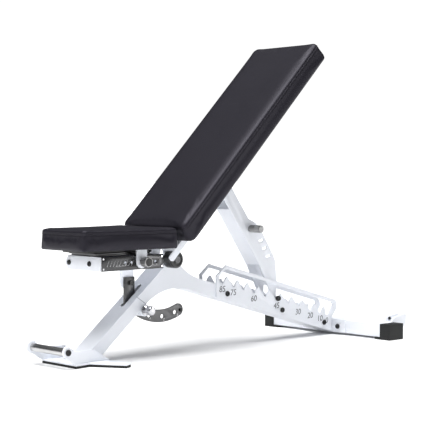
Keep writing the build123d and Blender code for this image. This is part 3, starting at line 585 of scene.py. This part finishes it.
def turned(name, centre, rings):
    """A turned solid about an axis along Y, from its rings of (y, radius)."""
    spokes = bpy.context.scene.bench_hardware.spokes
    y, radius = rings[0]
    bpy.ops.object.select_all(action="DESELECT")
    bpy.ops.mesh.primitive_circle_add(
        vertices=spokes, radius=radius, fill_type="NGON",
        location=(centre[0], y, centre[1]), rotation=(pi / 2, 0, 0),
    )
    piece = bpy.context.object
    piece.name = name
    settle(piece)
    edit(piece)
    bpy.ops.mesh.select_all(action="SELECT")
    for next_y, next_radius in rings[1:]:
        bpy.ops.mesh.extrude_region_move(TRANSFORM_OT_translate={"value": (0, next_y - y, 0)})
        ratio = next_radius / radius
        bpy.ops.transform.resize(
            value=(ratio, 1, ratio), center_override=(centre[0], next_y, centre[1])
        )
        y, radius = next_y, next_radius
    close()
    outward(piece)
    return piece


def fluted(piece, centre, low, high):
    """Draw two lines of vertices in every four towards the axis, between two Y values."""
    hardware = bpy.context.scene.bench_hardware
    step = 2 * pi / hardware.spokes

    def line(place):
        angle = Vector((place.x - centre[0], place.z - centre[1])).angle_signed(Vector((1, 0)))
        return round(angle / step) % 4

    edit(piece)
    pick(
        piece,
        lambda place, index: low - MERGE < place.y < high + MERGE and line(place) < 2,
    )
    radius = max(
        hypot(v.co.x - centre[0], v.co.z - centre[1]) for v in piece.data.vertices
    )
    ratio = 1 - hardware.flute_depth / radius
    bpy.ops.transform.resize(
        value=(ratio, 1, ratio), center_override=(centre[0], (low + high) / 2, centre[1])
    )
    close()


def joined(name, pieces):
    """Join several pieces into one."""
    bpy.ops.object.select_all(action="DESELECT")
    for piece in pieces:
        piece.select_set(True)
    bpy.context.view_layer.objects.active = pieces[0]
    bpy.ops.object.join()
    pieces[0].name = name
    return pieces[0]


def button_head(radius, height):
    """A button-head bolt at the origin, its face towards +Z, with a hex socket."""
    bpy.ops.object.select_all(action="DESELECT")
    bpy.ops.mesh.primitive_cylinder_add(
        vertices=32, radius=radius, depth=height, location=(0, 0, height / 2)
    )
    head = bpy.context.object
    settle(head)
    edit(head)
    pick(head, lambda place, index: place.z > height * 0.9)
    bpy.ops.transform.resize(value=(0.86, 0.86, 1), center_override=(0, 0, height))
    close()
    soften(head, height * 0.32, 3)
    bpy.ops.object.select_all(action="DESELECT")
    bpy.ops.mesh.primitive_cylinder_add(
        vertices=6, radius=radius * bpy.context.scene.bench_hardware.socket,
        depth=height, location=(0, 0, height),
    )
    key = bpy.context.object
    settle(key)
    apply(head, "BOOLEAN", object=key, operation="DIFFERENCE", solver="EXACT")
    bpy.data.objects.remove(key)
    only(head)
    bpy.ops.object.shade_smooth_by_angle(angle=radians(HARD_EDGE))
    return head


def bolts(name, radius, height, places):
    """Copies of one bolt head, each at a place with the way it faces."""
    head = button_head(radius, height)
    heads = []
    for spot, facing in places:
        copy = bpy.data.objects.new(name, head.data.copy())
        bpy.context.scene.collection.objects.link(copy)
        turn = Vector(facing).to_track_quat("Z", "Y").to_matrix().to_4x4()
        copy.matrix_world = Matrix.Translation(spot) @ turn
        settle(copy)
        heads.append(copy)
    bpy.data.objects.remove(head)
    return joined(name, heads)


def bead(name, start, end, radius):
    """A thin round bar from one point to another."""
    start, end = Vector(start), Vector(end)
    bpy.ops.object.select_all(action="DESELECT")
    bpy.ops.mesh.primitive_cylinder_add(
        vertices=12, radius=radius, depth=(end - start).length, location=(start + end) / 2,
        rotation=(end - start).to_track_quat("Z", "Y").to_euler(),
    )
    piece = bpy.context.object
    piece.name = name
    settle(piece)
    soften(piece, radius * 0.45)
    return piece


def numeral(text, size, place, facing, lean=0.0, depth=0.0004):
    """A stamped numeral on a plate that faces along Y."""
    bpy.ops.object.select_all(action="DESELECT")
    bpy.ops.object.text_add(
        location=place, rotation=(pi / 2, -lean * facing, 0 if facing < 0 else pi)
    )
    piece = bpy.context.object
    piece.data.body = text
    piece.data.size = size
    piece.data.extrude = depth
    piece.data.align_x = "CENTER"
    piece.data.align_y = "CENTER"
    piece.data.shear = 0.12
    piece.data.resolution_u = 3
    only(piece)
    bpy.ops.object.convert(target="MESH")
    piece = bpy.context.object
    settle(piece)
    outward(piece)
    return piece


# ------------------------------------------------------------ frame pieces

CUT_PLATES = (
    "front_foot_plate", "foot_side_plate_near", "foot_side_plate_far",
    "ladder_plate_near", "ladder_plate_far", "rear_flange",
    "storage_bracket_near", "storage_bracket_far", "tilt_pin_housing",
    "strut_plate_near", "strut_plate_far", "strut_web", "hinge_yoke", "strut_lugs",
    "carriage_front_plate", "carriage_rail_near", "carriage_rail_far", "carriage_deck",
    "cover_plate", "tilt_arm", "blade_hanger", "tilt_blade", "back_straps",
    "seat_frame", "index_tab", "slide_plate_lower", "slide_plate_upper",
)
BOX_TUBES = ("rear_crossbar", "back_tube")
SOFT_BLOCKS = ("foot_cap_near", "foot_cap_far", "front_foot_mat")


class BENCH_OT_steel(Operator):
    """Soften the cut plates and tubes and paint every frame node"""

    bl_idname = "bench.steel"
    bl_label = "Frame steel"

    def execute(self, context):
        """Dress or paint each node of the frame."""
        hardware = context.scene.bench_hardware
        for name, node in frame["nodes"].items():
            node.data.materials.clear()
            node.data.materials.append(finish_of(FINISHES[slot_holding(name)]))
        for node in CUT_PLATES:
            dressed(node, hardware.plate_edge)
        for node in BOX_TUBES:
            dressed(node, hardware.tube_edge, 3)
        for node in SOFT_BLOCKS:
            dressed(node, 2 * hardware.plate_edge, 3)
        return {"FINISHED"}


class BENCH_OT_welds(Operator):
    """Weld beads where the gussets and ears meet the leg, grey as painted shadow of the seam"""

    bl_idname = "bench.welds"
    bl_label = "Weld lines"

    def execute(self, context):
        """Lay a bead down each side of the leg."""
        gusset_low, gusset_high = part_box("arch_gussets")
        face = gusset_high.y
        top = AXLE + Vector((-0.1385, 0, -0.118))
        low = Vector((gusset_low.x + 0.001, 0, gusset_low.z + 0.001))
        beads = [
            bead("weld", (top.x, side * face, top.z), (low.x, side * face, low.z), 0.0011)
            for side in (NEAR, FAR)
        ]
        # The beads' grey is painted shadow along the seam, darker than the powder coat.
        present(joined("leg_weld_shadow_lines", beads), "frame", "white_frame", finish_of(weld_shade))
        return {"FINISHED"}


class BENCH_OT_numerals(Operator):
    """Back angles stamped on the ladder, step numbers on the blade and marks on the cover"""

    bl_idname = "bench.numerals"
    bl_label = "Numerals"

    def execute(self, context):
        """Stamp each plate."""
        ladder = []
        for side, node in ((NEAR, "ladder_plate_near"), (FAR, "ladder_plate_far")):
            low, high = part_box(node)
            face = low.y if side == NEAR else high.y
            for angle in NUMBERED:
                x, z = seated_point(angle, 0.0275 if angle != 45 else 0.0285)
                ladder.append(numeral(str(angle), 0.030, (x + 0.005, face, z), side))
        present(
            joined("ladder_numerals", ladder), "frame", "black_hardware", finish_of(numeral_ink)
        )
        blade_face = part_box("tilt_blade")[0].y
        steps = []
        for step in range(1, 4):
            angle = radians(-32.8 + 17.0 * step)
            x = AXLE.x + 0.2065 * sin(angle) + 0.006
            z = AXLE.z - 0.2065 * cos(angle)
            steps.append(numeral(str(step), 0.013, (x, blade_face, z), NEAR))
        present(
            joined("blade_numerals", steps), "carriage", "bright_steel", finish_of(pale_mark)
        )
        low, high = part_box("cover_plate")
        marks = []
        for step in range(9):
            x = low.x + 0.022 + 0.0125 * step
            base = (low.z + high.z) / 2
            marks.append(
                bead("mark", (x, low.y, base - 0.009), (x + 0.008, low.y, base + 0.009), 0.0009)
            )
        present(joined("cover_marks", marks), "carriage", "bright_steel", finish_of(pale_mark))
        return {"FINISHED"}


class BENCH_OT_bolts(Operator):
    """Button-head bolts"""

    bl_idname = "bench.bolts"
    bl_label = "Bolts"

    def execute(self, context):
        """Model one head for each size and copy it to its places."""
        for node, radius, height in (
            ("ladder_bolts", 0.010, 0.006),
            ("crossbar_bolts", 0.010, 0.006),
            ("carriage_bolts", 0.009, 0.005),
            ("handle_bolts", 0.0105, 0.005),
            ("bracket_bolts", 0.0065, 0.006),
            ("back_screws", 0.007, 0.004),
        ):
            places = self.places(node, height)
            piece = bolts(f"{node}_heads", radius, height, places)
            present(piece, body_holding(node), "black_hardware", nodes=[node])
        return {"FINISHED"}

    def places(self, node, height):
        """Where each head of a node sits and the way it faces."""
        if node in ("ladder_bolts", "handle_bolts", "bracket_bolts"):
            found = []
            for centre, low, high in islands(node):
                side = NEAR if centre.y < 0 else FAR
                face = low.y + height if side == NEAR else high.y - height
                found.append((Vector((centre.x, face, centre.z)), (0, side, 0)))
            return found
        if node in ("crossbar_bolts", "carriage_bolts"):
            return [
                (Vector((low.x + height, centre.y, centre.z)), (-1, 0, 0))
                for centre, low, high in islands(node)
            ]
        facing = Vector((sin(LEAN), 0, -cos(LEAN)))
        return [
            (centre - facing * height / 2, facing) for centre, low, high in islands(node)
        ]


def islands(node):
    """Middle and box of each separate solid in a frame node."""
    piece = copied(node, "islands")
    neighbours = {vertex.index: [] for vertex in piece.data.vertices}
    for edge in piece.data.edges:
        a, b = edge.vertices
        neighbours[a].append(b)
        neighbours[b].append(a)
    left = set(neighbours)
    found = []
    while left:
        stack = [min(left)]
        group = set(stack)
        while stack:
            for index in neighbours[stack.pop()]:
                if index not in group:
                    group.add(index)
                    stack.append(index)
        left -= group
        places = [piece.data.vertices[index].co for index in group]
        low = Vector([min(place[axis] for place in places) for axis in range(3)])
        high = Vector([max(place[axis] for place in places) for axis in range(3)])
        found.append(((low + high) / 2, low, high))
    bpy.data.objects.remove(piece)
    return found


class BENCH_OT_rollers(Operator):
    """Black rollers on the main axle, with their hub caps"""

    bl_idname = "bench.rollers"
    bl_label = "Hub rollers"

    def execute(self, context):
        """Turn each roller from its axle outwards."""
        low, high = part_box("hub_rollers")
        radius = (high.z - low.z) / 2
        outer = high.y
        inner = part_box("pivot_ears")[1].y + 0.001
        centre = (AXLE.x, AXLE.z)
        rollers = []
        caps = []
        for side in (NEAR, FAR):
            rings = [
                (inner, radius - 0.004), (inner + 0.003, radius), (outer - 0.014, radius),
                (outer - 0.011, radius - 0.0015), (outer - 0.009, radius - 0.0015),
                (outer - 0.006, radius), (outer - 0.003, radius - 0.001),
                (outer, radius - 0.005), (outer, radius - 0.009),
                (outer - 0.003, radius - 0.010), (outer - 0.003, 0.0125),
            ]
            piece = turned("roller", centre, [(side * y, r) for y, r in rings])
            soften(piece, 0.0006)
            rollers.append(piece)
            rings = [
                (outer - 0.003, 0.0115), (outer + 0.002, 0.0115), (outer + 0.003, 0.0105),
                (outer + 0.003, 0.006), (outer + 0.0015, 0.0055),
            ]
            piece = turned("cap", centre, [(side * y, r) for y, r in rings])
            soften(piece, 0.0003)
            caps.append(piece)
        present(joined("hub_rollers_turned", rollers), "frame", "hub_plastic", nodes=["hub_rollers"])
        present(joined("hub_caps_turned", caps), "frame", "hub_cap", nodes=["hub_caps"])
        return {"FINISHED"}


class BENCH_OT_grips(Operator):
    """Strut grip, seat pull knob, tilt pull knob and carry handle"""

    bl_idname = "bench.grips"
    bl_label = "Grips and knobs"

    def execute(self, context):
        """Turn and flute each grip."""
        self.strut_grip()
        self.seat_knob()
        self.tilt_knob()
        self.handle()
        return {"FINISHED"}

    def strut_grip(self):
        """Fluted grip on the strut."""
        low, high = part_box("strut_grip")
        centre = (middle("strut_grip").x, middle("strut_grip").z)
        radius = (high.z - low.z) / 2
        length = high.y - low.y
        rings = [(high.y, radius * 0.8), (high.y - 0.004, radius * 0.8), (high.y - 0.006, radius)]
        half = high.y - 0.5 * length
        for band in range(3):
            start = high.y - 0.006 - band * 0.0075
            rings += [
                (start - 0.001, radius), (start - 0.004, radius),
                (start - 0.0048, radius - 0.0025), (start - 0.0067, radius - 0.0025),
            ]
        rings += [(half - 0.001, radius)]
        rings += [
            (low.y + 0.004, radius), (low.y + 0.001, radius * 0.93),
            (low.y, radius * 0.84), (low.y, radius * 0.45), (low.y + 0.002, radius * 0.4),
        ]
        piece = turned("strut_grip_fluted", centre, rings)
        fluted(piece, centre, low.y + 0.001, half - 0.001)
        soften(piece, 0.0003)
        present(piece, "strut", "knurled_steel", nodes=["strut_grip"])

    def seat_knob(self):
        """Fluted pull knob with a black face."""
        low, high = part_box("index_knob")
        centre = (middle("index_knob").x, middle("index_knob").z)
        radius = (high.z - low.z) / 2
        rings = [
            (high.y, radius * 0.62), (high.y - 0.006, radius * 0.62),
            (high.y - 0.007, radius * 0.9), (high.y - 0.009, radius),
            (low.y + 0.006, radius), (low.y + 0.003, radius * 0.96), (low.y + 0.001, radius * 0.9),
            (low.y + 0.001, radius * 0.8),
        ]
        knob = turned("seat_pull_knob", centre, rings)
        fluted(knob, centre, low.y + 0.006, high.y - 0.009)
        soften(knob, 0.0004)
        present(knob, "seat_index_pin", "knurled_steel", nodes=["index_knob"])
        rings = [(low.y + 0.0015, radius * 0.8), (low.y, radius * 0.76), (low.y, radius * 0.3)]
        face = turned("seat_knob_face", centre, rings)
        soften(face, 0.0003)
        present(face, "seat_index_pin", "black_hardware")

    def tilt_knob(self):
        """Polished pull knob on the blade's pin."""
        low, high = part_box("tilt_pin_knob")
        centre = (middle("tilt_pin_knob").x, middle("tilt_pin_knob").z)
        radius = (high.z - low.z) / 2
        rings = [
            (high.y, radius * 0.6), (high.y - 0.007, radius * 0.6),
            (high.y - 0.008, radius * 0.72), (high.y - 0.014, radius * 0.72),
            (high.y - 0.016, radius * 0.92), (high.y - 0.019, radius),
            (low.y + 0.008, radius), (low.y + 0.003, radius * 0.93), (low.y, radius * 0.75),
        ]
        knob = turned("tilt_pull_knob", centre, rings)
        fluted(knob, centre, low.y + 0.008, high.y - 0.019)
        soften(knob, 0.0004)
        present(knob, "blade_pin", "bright_steel", nodes=["tilt_pin_knob"])
        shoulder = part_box("tilt_pin_housing")[0].y
        rings = [
            (shoulder + 0.001, 0.0155), (shoulder - 0.0015, 0.0155),
            (shoulder - 0.0018, 0.0145), (shoulder - 0.0018, 0.008),
        ]
        collar = turned("tilt_pin_collar", centre, rings)
        soften(collar, 0.0003)
        present(collar, "frame", "bright_steel")

    def handle(self):
        """Turned carry handle."""
        low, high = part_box("carry_handle")
        centre = (middle("carry_handle").x, middle("carry_handle").z)
        radius = (high.z - low.z) / 2
        ends = (high.y, low.y)
        rings = [(ends[0], radius - 0.001), (ends[0] - 0.001, radius)]
        rings += [(ends[1] + 0.001, radius), (ends[1], radius - 0.001)]
        piece = turned("carry_handle_turned", centre, rings)
        soften(piece, 0.0003)
        present(
            piece, "frame", "knurled_steel", finish_of(handle_steel), nodes=["carry_handle"]
        )


class BENCH_OT_pins(Operator):
    """Plated ladder pin ends with their caps"""

    bl_idname = "bench.pins"
    bl_label = "Pins"

    def execute(self, context):
        """Carry the ladder pin out through the notches and cap it."""
        centre = (LADDER_PIN.x, LADDER_PIN.z)
        pin_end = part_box("ladder_pin")[1].y
        plate_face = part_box("ladder_plate_far")[1].y
        radius = (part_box("ladder_pin")[1].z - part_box("ladder_pin")[0].z) / 2
        ends = []
        caps = []
        for side in (NEAR, FAR):
            rings = [(pin_end - 0.002, radius * 0.98), (plate_face + 0.006, radius * 0.98)]
            piece = turned("end", centre, [(side * y, r) for y, r in rings])
            soften(piece, 0.0003)
            ends.append(piece)
            rings = [
                (plate_face + 0.002, 0.0085), (plate_face + 0.003, 0.0095),
                (plate_face + 0.010, 0.0095), (plate_face + 0.013, 0.0082),
                (plate_face + 0.013, 0.004), (plate_face + 0.0115, 0.0035),
            ]
            piece = turned("cap", centre, [(side * y, r) for y, r in rings])
            soften(piece, 0.0004)
            caps.append(piece)
        present(joined("ladder_pin_ends", ends), "strut", "bright_steel")
        present(joined("ladder_pin_caps", caps), "strut", "black_hardware")
        return {"FINISHED"}


# ------------------------------------------------------------ pads


class BENCH_OT_back_pad(Operator):
    """Upholstered back pad"""

    bl_idname = "bench.back_pad"
    bl_label = "Back pad"

    def execute(self, context):
        """Fill the cover, then sew its seam."""
        upholster("back_pad", "back_board", "back_pad_cover", BACK_PLACE, "back")
        return {"FINISHED"}


class BENCH_OT_seat_pad(Operator):
    """Upholstered seat pad"""

    bl_idname = "bench.seat_pad"
    bl_label = "Seat pad"

    def execute(self, context):
        """Fill the cover, then sew its seam."""
        upholster("seat_pad", "seat_board", "seat_pad_cover", Matrix.Translation(AXLE), "seat")
        return {"FINISHED"}


class BENCH_OT_boards(Operator):
    """Boards under the pads, with the cover's turned-under edge"""

    bl_idname = "bench.boards"
    bl_label = "Pad boards"

    def execute(self, context):
        """Soften each board."""
        for node in ("back_board", "seat_board"):
            dressed(node, 0.002, 3, finish_of(vinyl))
        return {"FINISHED"}


def thickness(node, place):
    """Thickness of a board, square to its pad."""
    turned_back = place.inverted()
    heights = [(turned_back @ vertex.co).z for vertex in frame["nodes"][node].data.vertices]
    return max(heights) - min(heights)


def upholster(node, board, name, place, body):
    """A filled cover over a pad node, with a rolled seam round its face."""
    pads = bpy.context.scene.bench_pads
    cover = copied(node, name)
    cover.data.transform(place.inverted())
    heights = [vertex.co.z for vertex in cover.data.vertices]
    top = max(heights)
    wrap = thickness(board, place) - pads.board_shown
    for vertex in cover.data.vertices:
        if vertex.co.z < min(heights) + 0.001:
            vertex.co.z -= wrap
    low = min(heights) - wrap
    apply(cover, "REMESH", mode="VOXEL", voxel_size=pads.voxel, adaptivity=0.0)
    rest = [vertex.co.copy() for vertex in cover.data.vertices]
    fill(cover, low)
    hold(cover, rest, pads.crown, low)
    apply(cover, "SMOOTH", factor=0.4, iterations=2)
    apply(cover, "SUBSURF", levels=1, render_levels=1)
    groove(cover, top - pads.seam_drop, pads.seam_radius)
    cover.data.transform(place)
    outward(cover)
    only(cover)
    bpy.ops.object.shade_smooth()
    seam = rolled_seam(cover, place, top - pads.seam_drop, pads.seam_radius)
    seam.name = name.replace("cover", "seam")
    present(seam, body, "pad_vinyl")
    present(cover, body, "pad_vinyl", nodes=[node])


def fill(cover, low):
    """Blow the cover out over its filling, held along its lower edge."""
    pads = bpy.context.scene.bench_pads
    held = cover.vertex_groups.new(name="held")
    held.add(
        [v.index for v in cover.data.vertices if v.co.z < low + 0.5 * pads.voxel], 1.0, "REPLACE"
    )
    only(cover)
    cloth = cover.modifiers.new("Cover", "CLOTH")
    cloth.settings.vertex_group_mass = "held"
    cloth.settings.use_pressure = True
    cloth.settings.uniform_pressure_force = pads.pressure
    cloth.settings.tension_stiffness = CLOTH_STIFFNESS
    cloth.settings.compression_stiffness = CLOTH_STIFFNESS
    cloth.settings.bending_stiffness = 4.0
    cloth.settings.effector_weights.gravity = 0.0
    cloth.point_cache.frame_start = 1
    cloth.point_cache.frame_end = CLOTH_FRAMES
    for step in range(1, CLOTH_FRAMES + 1):
        bpy.context.scene.frame_set(step)
    bpy.ops.object.modifier_apply(modifier=cloth.name)
    bpy.context.scene.frame_set(1)


def hold(cover, rest, furthest, low):
    """Keep every move of the cover within a distance of its rest place."""
    for vertex, start in zip(cover.data.vertices, rest):
        move = vertex.co - start
        if move.length > furthest:
            move.length = furthest
        if start.z < low + ROOT_HEIGHT:
            move.z = 0.0
        vertex.co = start + move


def groove(cover, height, width):
    """Draw the cover in along the line of its seam."""
    for vertex in cover.data.vertices:
        near = abs(vertex.co.z - height) / (2.4 * width)
        if near < 1 and abs(vertex.normal.z) < FACE_SLOPE:
            flat = Vector((vertex.normal.x, vertex.normal.y, 0))
            vertex.co -= flat * 0.8 * width * (1 - near) ** 2


def rolled_seam(cover, place, height, radius):
    """A thin roll that follows the cover's sides at one height."""
    only(cover)
    bpy.ops.object.duplicate()
    piece = bpy.context.object
    piece.data.transform(place.inverted())
    edit(piece)
    bpy.ops.mesh.select_all(action="SELECT")
    bpy.ops.mesh.bisect(
        plane_co=(0, 0, height), plane_no=(0, 0, 1), clear_inner=True, clear_outer=True
    )
    close()
    only(piece)
    bpy.ops.object.convert(target="CURVE")
    piece = bpy.context.object
    piece.data.bevel_depth = radius
    piece.data.bevel_resolution = 2
    bpy.ops.object.convert(target="MESH")
    piece = bpy.context.object
    piece.data.transform(place)
    outward(piece)
    only(piece)
    bpy.ops.object.shade_smooth()
    return piece


# ------------------------------------------------------------ studio


class BENCH_OT_studio(Operator):
    """Pale floor, soft light and camera"""

    bl_idname = "bench.studio"
    bl_label = "Studio"

    def execute(self, context):
        """Set the floor, the lights and the camera."""
        self.floor()
        self.lights(context.scene.bench_studio)
        self.world(context.scene.bench_studio)
        self.camera(context.scene.bench_studio)
        context.scene.view_settings.view_transform = "Standard"
        context.scene.view_settings.look = "None"
        return {"FINISHED"}

    def floor(self):
        """A wide white floor."""
        bpy.ops.object.select_all(action="DESELECT")
        bpy.ops.mesh.primitive_plane_add(size=160)
        floor = bpy.context.object
        floor.name = "studio_floor"
        settle(floor)
        floor.data.materials.append(
            Shader("studio white", (0.93, 0.93, 0.93), 0.9, specular_ior_level=0.0).material
        )

    def lights(self, studio):
        """A broad overhead light, a soft side light and one on the leg's face."""
        for name, strength, spread, towards in (
            ("overhead_light", studio.key, 52.0, (-0.16, -0.05, 1.0)),
            ("side_light", studio.side, 80.0, (0.1, -1.0, 0.35)),
            ("front_light", studio.front, 25.0, (-0.85, -0.05, 0.5)),
        ):
            bpy.ops.object.select_all(action="DESELECT")
            bpy.ops.object.light_add(type="SUN", location=(0, 0, 3))
            light = bpy.context.object
            light.name = name
            light.data.energy = strength
            light.data.angle = radians(spread)
            light.rotation_euler = Vector(towards).to_track_quat("Z", "Y").to_euler()
        self.strip(studio.strip)

    def strip(self, strength):
        """A narrow upright light that only polished steel shows."""
        place = Vector((1.24, -1.9, 0.24))
        towards = place - middle("cover_plate")
        bpy.ops.object.select_all(action="DESELECT")
        bpy.ops.object.light_add(
            type="AREA", location=place, rotation=towards.to_track_quat("Z", "Y").to_euler()
        )
        light = bpy.context.object
        light.name = "strip_light"
        light.data.shape = "RECTANGLE"
        light.data.size = 0.06
        light.data.size_y = 0.9
        light.data.energy = strength
        light.visible_camera = False
        light.visible_diffuse = False

    def world(self, studio):
        """White to the eye, dim as a light."""
        world = bpy.data.worlds.new("studio world")
        bpy.context.scene.world = world
        world.use_nodes = True
        tree = world.node_tree
        tree.nodes.clear()
        seen = tree.nodes.new("ShaderNodeBackground")
        seen.inputs["Color"].default_value = (1, 1, 1, 1)
        seen.inputs["Strength"].default_value = 1.05
        lit = tree.nodes.new("ShaderNodeBackground")
        lit.inputs["Color"].default_value = (0.92, 0.95, 1.0, 1)
        lit.inputs["Strength"].default_value = studio.haze
        path = tree.nodes.new("ShaderNodeLightPath")
        mix = tree.nodes.new("ShaderNodeMixShader")
        output = tree.nodes.new("ShaderNodeOutputWorld")
        tree.links.new(path.outputs["Is Camera Ray"], mix.inputs["Fac"])
        tree.links.new(lit.outputs["Background"], mix.inputs[1])
        tree.links.new(seen.outputs["Background"], mix.inputs[2])
        tree.links.new(mix.outputs["Shader"], output.inputs["Surface"])

    def camera(self, studio):
        """Camera on the seat side of the bench, low and far."""
        away = Vector(
            (
                -sin(studio.around) * cos(studio.above),
                -cos(studio.around) * cos(studio.above),
                sin(studio.above),
            )
        )
        bpy.ops.object.select_all(action="DESELECT")
        bpy.ops.object.camera_add(
            location=Vector(studio.target) + away * studio.distance,
            rotation=away.to_track_quat("Z", "Y").to_euler(),
        )
        camera = bpy.context.object
        camera.data.lens = studio.lens
        camera.data.sensor_width = 36.0
        camera.data.clip_end = 400.0
        bpy.context.scene.camera = camera


# ------------------------------------------------------------ add-on


class BENCH_PT_sidebar(Panel):
    """Lists the bench's steps"""

    bl_idname = "BENCH_PT_sidebar"
    bl_label = "Weight Bench"
    bl_space_type = "VIEW_3D"
    bl_region_type = "UI"
    bl_category = "Bench"

    def draw(self, context):
        """Show the settings and one button for each step."""
        for pointer, group in SETTINGS:
            box = self.layout.box()
            for name in group.__annotations__:
                box.prop(getattr(context.scene, pointer), name)
        for step in STEPS:
            self.layout.operator(step.bl_idname)


STEPS = (
    BENCH_OT_steel,
    BENCH_OT_welds,
    BENCH_OT_numerals,
    BENCH_OT_bolts,
    BENCH_OT_rollers,
    BENCH_OT_grips,
    BENCH_OT_pins,
    BENCH_OT_boards,
    BENCH_OT_back_pad,
    BENCH_OT_seat_pad,
    BENCH_OT_studio,
)


def register():
    """Register the settings, the steps and the panel."""
    for pointer, group in SETTINGS:
        bpy.utils.register_class(group)
        setattr(bpy.types.Scene, pointer, PointerProperty(type=group))
    for step in STEPS:
        bpy.utils.register_class(step)
    bpy.utils.register_class(BENCH_PT_sidebar)


def unregister():
    """Take everything away again."""
    bpy.utils.unregister_class(BENCH_PT_sidebar)
    for step in reversed(STEPS):
        bpy.utils.unregister_class(step)
    for pointer, group in reversed(SETTINGS):
        delattr(bpy.types.Scene, pointer)
        bpy.utils.unregister_class(group)


def main():
    """Run every step."""
    register()
    for step in STEPS:
        group, name = step.bl_idname.split(".")
        getattr(getattr(bpy.ops, group), name)()


if __name__ == "__main__":
    main()
